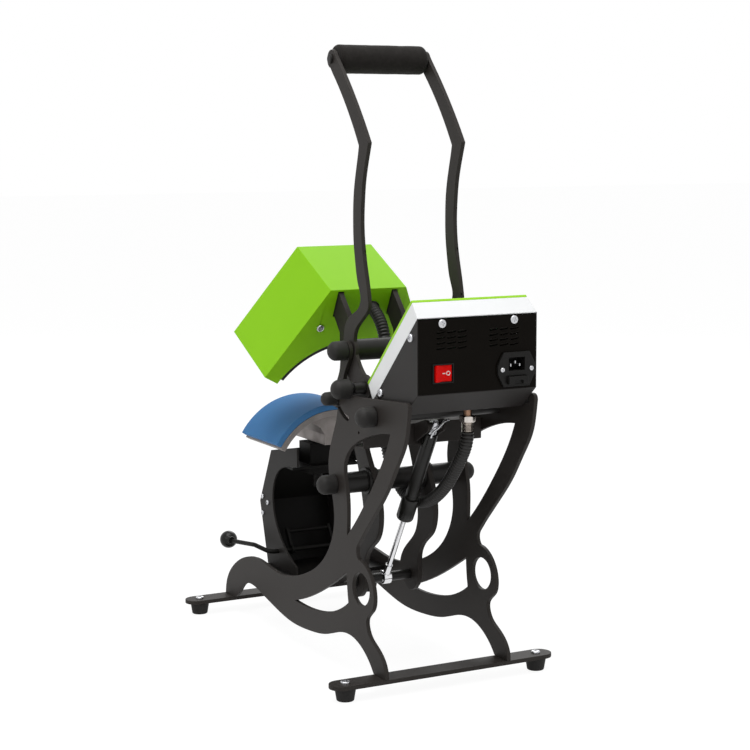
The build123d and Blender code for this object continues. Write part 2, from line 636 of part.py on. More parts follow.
def handle_arm(x):
    """One handle arm: a cranked flat bar from the pivot up to the grip."""
    with BuildSketch(across(x)) as outline:
        with BuildLine():
            Line((32.5, 855.5), (45, 841.5))
            ThreePointArc((45, 841.5), (88.4, 792.7), (123.5, 742))
            Spline((123.5, 742), (117.7, 719), (111, 694.5), (106.5, 668), (105.4, 640), (106.4, 612), (111.6, 580),
                   (119.5, 552), (126.5, 532), (122.5, 522), (105, 511), (87, 501), (77.5, 488), (74, 468), (73, 450),
                   (85, 424), (112, 402), (126, 396))
            Line((126, 396), (150, 421))
            Spline((150, 421), (124, 436), (112, 452), (106, 470), (110, 486), (123, 498.5), (140, 511), (150, 522),
                   (149.5, 536), (145, 556), (138.2, 580), (132.2, 608), (129.7, 640), (131.5, 668), (135.4, 694.5),
                   (142.5, 719), (152, 746))
            ThreePointArc((152, 746), (118, 792.7), (62, 857))
            Line((62, 857), (50, 870.5))
            Line((50, 870.5), (32.5, 855.5))
        make_face()
        with Locations(GRIP_AXIS):
            Circle(EYE_TOP_R)
        with Locations(HANDLE_AXIS):
            Circle(18)
        with Locations(LINK_TOP):
            Circle(17)
        with BuildLine():
            Polyline(polar(STOP_POINT, 7, 115), polar(STOP_POINT, 7, 295), polar(HANDLE_AXIS, 17, 295),
                     polar(HANDLE_AXIS, 17, 115), close=True)
        make_face()
        with Locations(STOP_POINT):
            Circle(7)
        with Locations(HANDLE_AXIS, LINK_TOP):
            Circle(ROD_R + FIT, mode=Mode.SUBTRACT)
        with Locations(GRIP_AXIS):
            Circle(5 + FIT, mode=Mode.SUBTRACT)
        with Locations(STOP_POINT):
            Circle(STOP_PIN_R + FIT, mode=Mode.SUBTRACT)
    extrude(outline.sketch, amount=HANDLE_THICK)


with BuildPart() as handle_arms:
    handle_arm(HANDLE_INSIDE)
    handle_arm(-HANDLE_OUTSIDE)
save(handle_arms.part, "handle_arms")

with BuildPart() as handle_tubes:
    sleeve(-HANDLE_INSIDE, HANDLE_INSIDE, MID_TUBE_R, MID_TUBE_BORE, LINK_TOP)
    sleeve(-HANDLE_INSIDE, HANDLE_INSIDE, GRIP_TUBE_R, GRIP_TUBE_BORE, GRIP_AXIS)
save(handle_tubes.part, "handle_tubes")

with BuildPart() as foam_grip:
    sleeve(-HANDLE_INSIDE, HANDLE_INSIDE, FOAM_R, GRIP_TUBE_R, GRIP_AXIS)
    fillet(foam_grip.edges().filter_by(GeomType.CIRCLE).group_by(SortBy.RADIUS)[-1], radius=6)
save(foam_grip.part, "foam_grip")

LINK_CAP_FACE = LINK_OUTSIDE + GAP

with BuildPart() as handle_rods:
    rod(-LINK_CAP_FACE - CAP_BORE_DEPTH + 1, LINK_CAP_FACE + CAP_BORE_DEPTH - 1, ROD_R, LINK_TOP)
    turned([(-HANDLE_OUTSIDE - 4, 5), (-HANDLE_OUTSIDE - 3, 6.5), (-HANDLE_OUTSIDE, 6.5), (-HANDLE_OUTSIDE, 5),
            (HANDLE_OUTSIDE, 5), (HANDLE_OUTSIDE, 6.5), (HANDLE_OUTSIDE + 3, 6.5), (HANDLE_OUTSIDE + 4, 5)], GRIP_AXIS)
save(handle_rods.part, "handle_rods")

with BuildPart() as handle_caps:
    for side in (1, -1):
        domed_cap(side * LINK_CAP_FACE, side, LINK_TOP, CAP_R, CAP_LENGTH, ROD_R + FIT, CAP_BORE_DEPTH)
save(handle_caps.part, "handle_caps")

KNOB_FACE = PLATE_OUTSIDE + 1

with BuildPart() as stop_pins:
    for side in (1, -1):
        rod(side * HANDLE_INSIDE, side * (KNOB_FACE + 14), STOP_PIN_R, STOP_POINT)
save(stop_pins.part, "stop_pins")

with BuildPart() as stop_knobs:
    for side in (1, -1):
        domed_cap(side * KNOB_FACE, side, STOP_POINT, STOP_KNOB_R, STOP_KNOB_LENGTH, STOP_PIN_R + FIT, 15)
save(stop_knobs.part, "stop_knobs")

# ---------------------------------------------------------------- toggle links
LINK_RUN = LINK_FOOT[0] - LINK_TOP[0]
LINK_FALL = LINK_FOOT[1] - LINK_TOP[1]
LINK_LENGTH = sqrt(LINK_RUN ** 2 + LINK_FALL ** 2)
LINK_ANGLE = degrees(atan2(LINK_FALL, LINK_RUN))
# The lower eye is a wide slot: this pivot is left open, and takes the small error of the fixed ratio.
OPEN_SLOT_R = ROD_R + 1.6
OPEN_SLOT_SHIFT = 4.6


def toggle_link(x):
    """One waisted link, drawn along its own length from the top eye."""
    link_plane = Plane(origin=(x, *LINK_TOP), x_dir=(0, LINK_RUN, LINK_FALL), z_dir=(1, 0, 0))
    with BuildSketch(link_plane) as outline:
        with BuildLine():
            Line((0, LINK_END_R), (0, -LINK_END_R))
            Spline((0, -LINK_END_R), (LINK_LENGTH * 0.45, -LINK_WAIST / 2), (LINK_LENGTH, -LINK_END_R),
                   tangents=[(1, 0), (1, 0)])
            Line((LINK_LENGTH, -LINK_END_R), (LINK_LENGTH, LINK_END_R))
            Spline((LINK_LENGTH, LINK_END_R), (LINK_LENGTH * 0.45, LINK_WAIST / 2), (0, LINK_END_R),
                   tangents=[(-1, 0), (-1, 0)])
        make_face()
        with Locations((0, 0), (LINK_LENGTH, 0)):
            Circle(LINK_END_R)
        Circle(ROD_R + FIT, mode=Mode.SUBTRACT)
        with Locations((LINK_LENGTH - OPEN_SLOT_SHIFT / 2, 1)):
            SlotCenterToCenter(OPEN_SLOT_SHIFT, 2 * OPEN_SLOT_R, mode=Mode.SUBTRACT)
    extrude(outline.sketch, amount=LINK_THICK)


with BuildPart() as toggle_links:
    toggle_link(LINK_INSIDE)
    toggle_link(-LINK_OUTSIDE)
save(toggle_links.part, "toggle_links")

# ---------------------------------------------------------------- lower platen
PAD_PLANE = Plane(origin=(0, PAD_REAR_Y, PAD_Z), x_dir=(1, 0, 0), z_dir=(0, -1, 0))


def arched(plane, inner, outer, half_angle, length):
    """A curved slab: part of a ring drawn about the plane's origin and pushed along the plane's normal."""
    high = 90 - half_angle
    low = 90 + half_angle
    with BuildSketch(plane) as outline:
        with BuildLine():
            ThreePointArc(polar((0, 0), outer, high), (0, outer), polar((0, 0), outer, low))
            Line(polar((0, 0), outer, low), polar((0, 0), inner, low))
            ThreePointArc(polar((0, 0), inner, low), (0, inner), polar((0, 0), inner, high))
            Line(polar((0, 0), inner, high), polar((0, 0), outer, high))
        make_face()
    extrude(outline.sketch, amount=length)


PAD_INNER = PAD_R - PAD_THICK
CASTING_INNER = PAD_INNER - CASTING_THICK
POST_TOP = PAD_Z + CASTING_INNER - 34

with BuildPart() as silicone_pad:
    arched(PAD_PLANE, PAD_INNER, PAD_R, PAD_HALF_ANGLE, PAD_LENGTH)
save(silicone_pad.part, "silicone_pad")

with BuildPart() as lower_platen:
    arched(PAD_PLANE, CASTING_INNER, PAD_INNER, PAD_HALF_ANGLE + 1.5, PAD_LENGTH)
    with BuildSketch(PAD_PLANE.offset(8)):
        with BuildLine():
            Polyline((40, CASTING_INNER - 8), (22, CASTING_INNER - 18), (14, CASTING_INNER - 30), (14, CASTING_INNER - 46),
                     (-14, CASTING_INNER - 46), (-14, CASTING_INNER - 30), (-22, CASTING_INNER - 18),
                     (-40, CASTING_INNER - 8), (0, CASTING_INNER + 6), close=True)
        make_face()
    extrude(amount=PAD_LENGTH - 16)
    with BuildSketch(Plane.XY.offset(PAD_Z + CASTING_INNER - 46)):
        with Locations((0, POST_Y)):
            Circle(POST_R + FIT)
    extrude(amount=12, mode=Mode.SUBTRACT)
save(lower_platen.part, "lower_platen")

with BuildPart() as platen_post:
    with BuildSketch(Plane.XY.offset(POST_TOP)):
        with Locations((0, POST_Y)):
            Circle(POST_R)
    extrude(amount=-POST_LENGTH)
save(platen_post.part, "platen_post")


# ---------------------------------------------------------------- platen stand
def stand_side(x):
    """One cheek of the stand, with a deep curved throat at the rear."""
    with BuildSketch(across(x)) as outline:
        with BuildLine():
            Line((-122, STAND_BASE_Z), (-227, STAND_BASE_Z))
            Line((-227, STAND_BASE_Z), (-255, 180))
            Line((-255, 180), (-211, 268))
            Line((-211, 268), (-116, 286))
            Line((-116, 286), (-116, 256))
            Spline((-116, 256), (-150, 251), (-185, 238), (-204, 212), (-206, 180), (-190, 146), (-160, 118),
                   (-122, 99))
            Line((-122, 99), (-122, STAND_BASE_Z))
        make_face()
        with Locations(LEVER_AXIS):
            Circle(LEVER_R + FIT, mode=Mode.SUBTRACT)
    extrude(outline.sketch, amount=STAND_SHEET)


STAND_INSIDE = STAND_HALF - STAND_SHEET

with BuildPart() as stand_sides:
    stand_side(STAND_INSIDE)
    stand_side(-STAND_HALF)
save(stand_sides.part, "stand_sides")

with BuildPart() as stand_front:
    with BuildSketch(across(-STAND_INSIDE)):
        with BuildLine():
            Polyline((-227, STAND_BASE_Z), (-255, 180), (-211, 268), (-207.6, 267.5), (-251, 180), (-223, STAND_BASE_Z),
                     close=True)
        make_face()
    extrude(amount=2 * STAND_INSIDE)
save(stand_front.part, "stand_front")

with BuildPart() as stand_shelves:
    with BuildSketch(Plane.XY.offset(STAND_BASE_Z - 6)):
        with Locations((0, -174.5)):
            Rectangle(2 * PLATE_INSIDE, 105)
    extrude(amount=6)
    with BuildSketch(Plane.XY.offset(SHELF_Z)):
        with Locations((0, POST_Y)):
            Rectangle(2 * STAND_INSIDE, 60)
            Circle(POST_R + 0.1, mode=Mode.SUBTRACT)
    extrude(amount=4)
    with BuildSketch(Plane.XY.offset(HOUSING_BOTTOM)):
        with Locations((0, POST_Y)):
            Rectangle(HOUSING_WIDTH, HOUSING_DEPTH)
            Rectangle(HOUSING_WIDTH - 2 * STAND_SHEET, HOUSING_DEPTH - 2 * STAND_SHEET, mode=Mode.SUBTRACT)
    extrude(amount=HOUSING_TOP - HOUSING_BOTTOM)
    with BuildSketch(Plane.XY.offset(HOUSING_TOP)):
        with Locations((0, POST_Y)):
            Rectangle(HOUSING_WIDTH, HOUSING_DEPTH)
            Circle(POST_R + 0.1, mode=Mode.SUBTRACT)
    extrude(amount=-STAND_SHEET)
save(stand_shelves.part, "stand_shelves")

with BuildPart() as post_nuts:
    for nut_z in (SHELF_Z + 4, SHELF_Z - 13):
        with BuildSketch(Plane.XY.offset(nut_z)):
            with Locations((0, POST_Y)):
                RegularPolygon(13, 6)
                Circle(POST_R + 0.1, mode=Mode.SUBTRACT)
        extrude(amount=13)
save(post_nuts.part, "post_nuts")

with BuildPart() as stand_screws:
    for side in (1, -1):
        for screw_place in ((-243, 189), (-243, 162), (-224, 182)):
            rod(side * STAND_HALF, side * (STAND_HALF + 2.5), 4, screw_place)
save(stand_screws.part, "stand_screws")


# ---------------------------------------------------------------- hold-down lever
def eased(points, share):
    """Corner radii as large as the runs beside each corner allow."""
    radii = []
    for before, here, after in zip(points, points[1:], points[2:]):
        first = Vector(*here) - Vector(*before)
        second = Vector(*after) - Vector(*here)
        turn = radians(first.get_angle(second))
        radii.append(share * min(first.length, second.length) / tan(turn / 2))
    return radii


LEVER_ROUTE = [(-STAND_INSIDE + 1, *LEVER_AXIS), (STAND_HALF + 14, *LEVER_AXIS), (85, -222, 117),
               (BALL_X, BALL_Y + BALL_R - 2, BALL_Z)]
HOOK_REACH = 34.0
HOOK_X = 34.0

with BuildPart() as holddown_lever:
    with BuildLine() as lever_line:
        FilletPolyline(*LEVER_ROUTE, radius=14)
    with BuildSketch(Plane(origin=LEVER_ROUTE[0], z_dir=(1, 0, 0))):
        Circle(LEVER_R)
    sweep(path=lever_line.line)
    with BuildSketch(Plane(origin=(HOOK_X, LEVER_AXIS[0], LEVER_AXIS[1]), x_dir=(0, 1, 0), z_dir=(1, 0, 0))):
        Circle(7)
        with Locations((-HOOK_REACH * 0.3, HOOK_REACH * 0.45)):
            Rectangle(8, HOOK_REACH, rotation=33)
    extrude(amount=4)
    with BuildSketch(Plane(origin=(-HOOK_X - 4, LEVER_AXIS[0], LEVER_AXIS[1]), x_dir=(0, 1, 0), z_dir=(1, 0, 0))):
        Circle(7)
        with Locations((-HOOK_REACH * 0.3, HOOK_REACH * 0.45)):
            Rectangle(8, HOOK_REACH, rotation=33)
    extrude(amount=4)
    rod(-HOOK_X - 4, HOOK_X + 4, 3, (LEVER_AXIS[0] - HOOK_REACH * 0.5, LEVER_AXIS[1] + HOOK_REACH * 0.75))
save(holddown_lever.part, "holddown_lever")

with BuildPart() as ball_knob:
    with Locations((BALL_X, BALL_Y, BALL_Z)):
        Sphere(BALL_R)
    add(holddown_lever.part, mode=Mode.SUBTRACT)
save(ball_knob.part, "ball_knob")

# ---------------------------------------------------------------- control box
FLOOR_REAR_Y = BOX_REAR_Y - BOX_FLOOR_IN
FLOOR_FRONT_Y = FLOOR_REAR_Y - BOX_FLOOR_LENGTH
SHELL_POINTS = [(BOX_REAR_Y, BOX_TOP_Z), (BOX_REAR_Y, BOX_CORNER_Z), (FLOOR_REAR_Y, BOX_FLOOR_Z), (FLOOR_FRONT_Y, BOX_FLOOR_Z),
                (TRAY_MID_Y - TRAY_LENGTH / 2 * TRAY_COS, TRAY_MID_Z - TRAY_LENGTH / 2 * TRAY_SIN)]
SIDE_SCREWS = ((BOX_REAR_Y - 16.5, BOX_TOP_Z - 26.7), (BOX_REAR_Y - 99.6, BOX_TOP_Z - 109))
PANEL_SCREWS = ((54.9, BOX_TOP_Z - 8.4), (-54.9, BOX_TOP_Z - 8.4))
SPACERS = ((FLOOR_FRONT_Y + 6, BOX_FLOOR_Z + 9.3), (FLOOR_REAR_Y + 6, BOX_FLOOR_Z + 10.3))
PANEL_THICK = 2.0

with BuildPart() as control_box_shell:
    with BuildSketch(across(-BOX_HALF)):
        with BuildLine():
            Polyline(*SHELL_POINTS, close=True)
        make_face()
    extrude(amount=2 * BOX_HALF)
    with BuildSketch(across(-BOX_HALF + BOX_SHEET)):
        with BuildLine():
            Polyline((BOX_REAR_Y + 5, BOX_TOP_Z + 5), (BOX_REAR_Y + 5, BOX_CORNER_Z + 1), (BOX_REAR_Y - 0.6, BOX_CORNER_Z + 1),
                     (FLOOR_REAR_Y - 0.6, BOX_FLOOR_Z + BOX_SHEET), (FLOOR_FRONT_Y + 0.6, BOX_FLOOR_Z + BOX_SHEET),
                     (FLOOR_FRONT_Y - 30, BOX_FLOOR_Z + 28.3), (FLOOR_FRONT_Y - 30, BOX_FLOOR_Z + 68.3),
                     (FLOOR_REAR_Y - 10, BOX_TOP_Z + 40), close=True)
        make_face()
    extrude(amount=2 * (BOX_HALF - BOX_SHEET), mode=Mode.SUBTRACT)
    with BuildSketch(across(-BOX_HALF - 1)):
        with Locations(*SIDE_SCREWS):
            Circle(2 + FIT)
    extrude(amount=2 * BOX_HALF + 2, mode=Mode.SUBTRACT)
    with BuildSketch(Plane.XY.offset(BOX_FLOOR_Z - 1)):
        with Locations((GLAND_X, GLAND_Y)):
            Circle(8 + FIT)
    extrude(amount=4, mode=Mode.SUBTRACT)
save(control_box_shell.part, "control_box_shell")

PANEL_HALF = BOX_HALF - BOX_SHEET - 0.1

with BuildPart() as rear_panel:
    with BuildSketch(REAR_PLANE):
        with Locations((0, (BOX_TOP_Z + BOX_CORNER_Z - PANEL_THICK) / 2 + 0.4)):
            Rectangle(2 * PANEL_HALF, BOX_TOP_Z - BOX_CORNER_Z - PANEL_THICK - 1.2)
        with Locations((-ROCKER_X, ROCKER_Z)):
            Rectangle(30.2, 24.2, mode=Mode.SUBTRACT)
        with Locations((-INLET_X, INLET_Z)):
            Rectangle(36.4, 42.4, mode=Mode.SUBTRACT)
        with Locations(*PANEL_SCREWS):
            Circle(2 + FIT, mode=Mode.SUBTRACT)
        for vent_x in (-40, 40):
            for row in range(4):
                for column in range(3):
                    with Locations((vent_x + (column - 1) * 16, 482 + row * 7)):
                        SlotOverall(13, 2.6, rotation=8, mode=Mode.SUBTRACT)
    extrude(amount=-PANEL_THICK)
save(rear_panel.part, "rear_panel")

with BuildPart() as control_tray:
    with BuildSketch(TRAY_PLANE):
        Rectangle(2 * BOX_HALF, TRAY_LENGTH)
    with BuildSketch(FACE_PLANE):
        Rectangle(2 * TRAY_FRONT_HALF, TRAY_LENGTH - 1)
    loft()
    with BuildSketch(TRAY_PLANE):
        Rectangle(2 * (BOX_HALF - TRAY_SHEET), TRAY_LENGTH - 2 * TRAY_SHEET)
    with BuildSketch(FACE_PLANE):
        Rectangle(2 * (TRAY_FRONT_HALF - TRAY_SHEET), TRAY_LENGTH - 1 - 2 * TRAY_SHEET)
    loft(mode=Mode.SUBTRACT)
save(control_tray.part, "control_tray")

BUTTON_ROW_Y = -42.0
BUTTON_PITCH = 38.0
BUTTON_PLACES = [(-BUTTON_PITCH, BUTTON_ROW_Y), (0, BUTTON_ROW_Y), (BUTTON_PITCH, BUTTON_ROW_Y)]
WINDOW_Y = 28.0
WINDOW_WIDTH = 92.0
WINDOW_HEIGHT = 40.0

with BuildPart() as control_face:
    with BuildSketch(FACE_PLANE):
        Rectangle(2 * TRAY_FRONT_HALF, TRAY_LENGTH - 1)
        with Locations((0, WINDOW_Y)):
            Rectangle(WINDOW_WIDTH + 0.2, WINDOW_HEIGHT + 0.2, mode=Mode.SUBTRACT)
        with Locations(*BUTTON_PLACES):
            Circle(BUTTON_R + 0.3, mode=Mode.SUBTRACT)
    extrude(amount=FACE_THICK)
save(control_face.part, "control_face")

with BuildPart() as display_window:
    with BuildSketch(FACE_PLANE):
        with Locations((0, WINDOW_Y)):
            Rectangle(WINDOW_WIDTH, WINDOW_HEIGHT)
    extrude(amount=FACE_THICK + 0.6)
save(display_window.part, "display_window")

BUTTON_NAMES = ["set_button", "down_button", "up_button"]
for button_name, button_place in zip(BUTTON_NAMES, BUTTON_PLACES):
    with BuildPart() as button:
        with BuildSketch(FACE_PLANE.offset(-3)):
            with Locations(button_place):
                Circle(BUTTON_R)
        extrude(amount=FACE_THICK + 3 + 2.5)
    save(button.part, button_name)

with BuildPart() as control_board:
    with BuildSketch(FACE_PLANE.offset(-10)):
        Rectangle(150, 130)
    extrude(amount=1.6)
    with BuildSketch(FACE_PLANE.offset(-8.4)):
        with Locations((68, 58), (-68, 58), (68, -58), (-68, -58)):
            Circle(3)
    extrude(amount=8.4)
save(control_board.part, "control_board")

with BuildPart() as box_screws:
    for screw_y, screw_z in SIDE_SCREWS:
        for side in (1, -1):
            pan_screw(Plane(origin=(side * BOX_HALF, screw_y, screw_z), x_dir=(0, 0, 1), z_dir=(side, 0, 0)), 2, 6)
    for screw_x, screw_z in PANEL_SCREWS:
        pan_screw(Plane(origin=(screw_x, BOX_REAR_Y, screw_z), x_dir=(-1, 0, 0), z_dir=(0, 1, 0)), 2, 8)
save(box_screws.part, "box_screws")

with BuildPart() as box_spacers:
    for side in (1, -1):
        for spacer_place in SPACERS:
            start = BOX_HALF if side > 0 else -PLATE_INSIDE
            rod(start, start + SPACER_LENGTH, 7, spacer_place)
save(box_spacers.part, "box_spacers")

# ---------------------------------------------------------------- rocker switch
ROCKER_REST = 8.0
ROCKER_PIVOT_Y = BOX_REAR_Y - 3.5
BEZEL_HEIGHT = 2.0

with BuildPart() as rocker_housing:
    with BuildSketch(REAR_PLANE):
        with Locations((-ROCKER_X, ROCKER_Z)):
            Rectangle(31.5, 25.5)
    extrude(amount=BEZEL_HEIGHT)
    with BuildSketch(REAR_PLANE):
        with Locations((-ROCKER_X, ROCKER_Z)):
            Rectangle(30, 24)
    extrude(amount=-17)
    with BuildSketch(REAR_PLANE.offset(BEZEL_HEIGHT)):
        with Locations((-ROCKER_X, ROCKER_Z)):
            Rectangle(28.2, 22.4)
    extrude(amount=-BEZEL_HEIGHT - 11, mode=Mode.SUBTRACT)
save(rocker_housing.part, "rocker_housing")

with BuildPart() as rocker:
    rocker_tip = radians(ROCKER_REST)
    with BuildSketch(Plane(origin=(ROCKER_X, ROCKER_PIVOT_Y, ROCKER_Z - 11), x_dir=(cos(rocker_tip), sin(rocker_tip), 0),
                           z_dir=(0, 0, 1))):
        with BuildLine():
            Polyline((-12.6, -3), (-12.6, 6), (0, 3.4), (12.6, 6), (12.6, -3), (0, -5.5), close=True)
        make_face()
    extrude(amount=22)
save(rocker.part, "rocker")

# ---------------------------------------------------------------- mains inlet
INLET_BODY_W = 36.0
INLET_BODY_H = 42.0
FLANGE_THICK = 4.0
EAR_X = 22.5
SOCKET_Z = INLET_Z + 7.0
DRAWER_Z = INLET_Z - 14.0
DRAWER_W = 30.0
DRAWER_H = 10.0
DRAWER_DEPTH = 24.0

with BuildPart() as power_inlet:
    with BuildSketch(REAR_PLANE):
        with Locations((-INLET_X, INLET_Z)):
            Polygon((20, 23), (-20, 23), (-EAR_X - 6.5, 6), (-EAR_X - 6.5, -6), (-20, -23), (20, -23),
                    (EAR_X + 6.5, -6), (EAR_X + 6.5, 6))
        with Locations((-INLET_X + EAR_X, INLET_Z), (-INLET_X - EAR_X, INLET_Z)):
            Circle(1.6, mode=Mode.SUBTRACT)
    extrude(amount=FLANGE_THICK)
    with BuildSketch(REAR_PLANE):
        with Locations((-INLET_X, INLET_Z)):
            Rectangle(INLET_BODY_W, INLET_BODY_H)
    extrude(amount=-30)
    with BuildSketch(REAR_PLANE.offset(FLANGE_THICK)):
        with Locations((-INLET_X, SOCKET_Z)):
            Rectangle(25, 17.4)
    extrude(amount=-20, mode=Mode.SUBTRACT)
    with BuildSketch(REAR_PLANE.offset(FLANGE_THICK)):
        with Locations((-INLET_X, DRAWER_Z)):
            Rectangle(DRAWER_W + 0.8, DRAWER_H + 0.8)
    extrude(amount=-DRAWER_DEPTH - 1 - FLANGE_THICK, mode=Mode.SUBTRACT)
save(power_inlet.part, "power_inlet")

with BuildPart() as inlet_pins:
    for pin_x, pin_z in ((0, 2), (7, -2), (-7, -2)):
        with BuildSketch(REAR_PLANE.offset(FLANGE_THICK - 20)):
            with Locations((-INLET_X + pin_x, SOCKET_Z + pin_z)):
                Rectangle(2, 4)
        extrude(amount=16)
save(inlet_pins.part, "inlet_pins")

with BuildPart() as inlet_screws:
    for ear in (EAR_X, -EAR_X):
        with BuildSketch(REAR_PLANE.offset(FLANGE_THICK)):
            with Locations((-INLET_X + ear, INLET_Z)):
                Circle(3.2)
        extrude(amount=1.8)
        with BuildSketch(REAR_PLANE.offset(FLANGE_THICK)):
            with Locations((-INLET_X + ear, INLET_Z)):
                Circle(1.5)
        extrude(amount=-FLANGE_THICK + 0.3)
save(inlet_screws.part, "inlet_screws")

with BuildPart() as fuse_drawer:
    with BuildSketch(REAR_PLANE.offset(REAR_REACH)):
        with Locations((-INLET_X, DRAWER_Z)):
            Rectangle(DRAWER_W, DRAWER_H)
    extrude(amount=-DRAWER_DEPTH - REAR_REACH)
    with BuildSketch(REAR_PLANE.offset(REAR_REACH)):
        with Locations((-INLET_X, DRAWER_Z - 3)):
            Rectangle(14, 6)
    extrude(amount=-4, mode=Mode.SUBTRACT)
save(fuse_drawer.part, "fuse_drawer")

# ---------------------------------------------------------------- conduit
with BuildPart() as cable_gland:
    with BuildSketch(Plane.XY.offset(BOX_FLOOR_Z + 8)):
        with Locations((GLAND_X, GLAND_Y)):
            Circle(8)
    extrude(amount=-11)
    with BuildSketch(Plane.XY.offset(BOX_FLOOR_Z)):
        with Locations((GLAND_X, GLAND_Y)):
            Circle(6)
    extrude(amount=-(BOX_FLOOR_Z - GLAND_NUT_TOP))
    with BuildSketch(Plane.XY.offset(GLAND_NUT_TOP)):
        with Locations((GLAND_X, GLAND_Y)):
            RegularPolygon(11.4, 6)
    extrude(amount=-8.6)
    with BuildSketch(Plane.XY.offset(GLAND_NUT_TOP - 8.6)):
        with Locations((GLAND_X, GLAND_Y)):
            Circle(CONDUIT_R)
    extrude(amount=-(GLAND_NUT_TOP - 8.6 - GLAND_BOTTOM))
    with BuildSketch(Plane.XY.offset(GLAND_BOTTOM)):
        with Locations((GLAND_X, GLAND_Y)):
            Circle(4)
    extrude(amount=60, mode=Mode.SUBTRACT)
save(cable_gland.part, "cable_gland")

HEAD_END = HEAD_PLANE.from_local_coords((HEAD_GLAND_X, -HEAD_GLAND_DROP, -HEAD_GLAND_PROUD))
HEAD_LEAD = HEAD_PLANE.from_local_coords((HEAD_GLAND_X, -HEAD_GLAND_DROP, -HEAD_GLAND_PROUD - 36))
CONDUIT_ROUTE = [(GLAND_X, GLAND_Y, GLAND_BOTTOM), (GLAND_X, GLAND_Y, 338), (-29, 213, 303), (-27, 181, 266), (-25, 134, 238),
                 (-22, 84, 238), (-16, 47, 274), (-11, 33, 326), (-9, 32, 380), (-10, 41, 434),
                 tuple(HEAD_LEAD), tuple(HEAD_END)]
CONDUIT_RADII = eased(CONDUIT_ROUTE, 0.45)

with BuildPart() as conduit:
    with BuildLine() as conduit_line:
        FilletPolyline(*CONDUIT_ROUTE, radius=CONDUIT_RADII)
    with BuildSketch(Plane(origin=CONDUIT_ROUTE[0], z_dir=(0, 0, -1))):
        Circle(CONDUIT_R)
    sweep(path=conduit_line.line)
save(conduit.part, "conduit")

section = pi * CONDUIT_R ** 2
conduit_length = sum(edge.length for edge in conduit_line.edges())
print("conduit radii", [round(value, 1) for value in CONDUIT_RADII])
print("conduit volume over section times length", round(conduit.part.volume / (section * conduit_length), 4))
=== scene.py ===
import json
from math import cos, pi, radians, sin

import bpy
from mathutils import Matrix, Vector

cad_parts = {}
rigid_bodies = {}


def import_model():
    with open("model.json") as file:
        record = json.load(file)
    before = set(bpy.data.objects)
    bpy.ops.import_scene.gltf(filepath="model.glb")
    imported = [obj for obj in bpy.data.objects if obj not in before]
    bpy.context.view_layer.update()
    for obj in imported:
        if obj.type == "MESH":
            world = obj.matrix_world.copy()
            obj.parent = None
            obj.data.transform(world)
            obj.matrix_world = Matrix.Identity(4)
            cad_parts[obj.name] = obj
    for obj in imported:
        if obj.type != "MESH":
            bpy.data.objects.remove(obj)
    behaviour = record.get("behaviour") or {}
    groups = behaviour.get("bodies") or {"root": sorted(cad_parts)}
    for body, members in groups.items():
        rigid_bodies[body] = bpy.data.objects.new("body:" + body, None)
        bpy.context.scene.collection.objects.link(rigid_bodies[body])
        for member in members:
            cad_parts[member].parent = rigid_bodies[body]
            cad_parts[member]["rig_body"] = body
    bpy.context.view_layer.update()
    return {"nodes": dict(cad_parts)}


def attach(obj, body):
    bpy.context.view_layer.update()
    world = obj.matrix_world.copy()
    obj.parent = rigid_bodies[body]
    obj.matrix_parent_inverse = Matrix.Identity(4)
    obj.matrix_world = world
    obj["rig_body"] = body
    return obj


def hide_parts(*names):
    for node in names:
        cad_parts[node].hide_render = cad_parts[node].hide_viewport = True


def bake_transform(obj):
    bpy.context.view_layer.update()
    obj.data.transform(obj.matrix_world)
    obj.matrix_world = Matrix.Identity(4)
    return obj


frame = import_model()

# ---------------------------------------------------------------- camera
# The eye stands behind the press and to its right, a little over two metres away,
# and looks down on the handle end of the machine.
camera_data = bpy.data.cameras.new("camera")
camera_data.sensor_width = 36
camera_data.lens = 87.04
camera_data.clip_end = 60
camera = bpy.data.objects.new("camera", camera_data)
camera.location = (1.2220, 2.3403, 0.7570)
camera.rotation_euler = (radians(82.448), radians(0.155), radians(152.155))
bpy.context.scene.collection.objects.link(camera)
bpy.context.scene.camera = camera

# ---------------------------------------------------------------- finishes
# Every finish on the press is a little uneven: the colour drifts in broad patches and
# a fine grain breaks up the shine. One node group makes both from the piece's own place.


def group_sockets(group, inputs, outputs):
    """Names the sockets of a node group and returns its two end nodes."""
    for name, kind in inputs:
        group.interface.new_socket(name, in_out="INPUT", socket_type="NodeSocket" + kind)
    for name, kind in outputs:
        group.interface.new_socket(name, in_out="OUTPUT", socket_type="NodeSocket" + kind)
    return group.nodes.new("NodeGroupInput"), group.nodes.new("NodeGroupOutput")


uneven = bpy.data.node_groups.new("uneven_finish", "ShaderNodeTree")
given, made = group_sockets(
    uneven,
    [("Colour", "Color"), ("Shade", "Color"), ("Patch Scale", "Float"), ("Grain Scale", "Float"),
     ("Roughness", "Float"), ("Spread", "Float")],
    [("Colour", "Color"), ("Roughness", "Float"), ("Height", "Float")])
place = uneven.nodes.new("ShaderNodeTexCoord")
patches = uneven.nodes.new("ShaderNodeTexNoise")
patches.inputs["Detail"].default_value = 4
contrast = uneven.nodes.new("ShaderNodeMapRange")
contrast.inputs["From Min"].default_value = 0.32
contrast.inputs["From Max"].default_value = 0.68
blend_colour = uneven.nodes.new("ShaderNodeMix")
blend_colour.data_type = "RGBA"
grain = uneven.nodes.new("ShaderNodeTexNoise")
grain.inputs["Detail"].default_value = 2.5
grain.inputs["Roughness"].default_value = 0.62
wander = uneven.nodes.new("ShaderNodeMath")
wander.operation = "SUBTRACT"
wander.inputs[1].default_value = 0.5
rough = uneven.nodes.new("ShaderNodeMath")
rough.operation = "MULTIPLY_ADD"
link = uneven.links.new
link(place.outputs["Object"], patches.inputs["Vector"])
link(place.outputs["Object"], grain.inputs["Vector"])
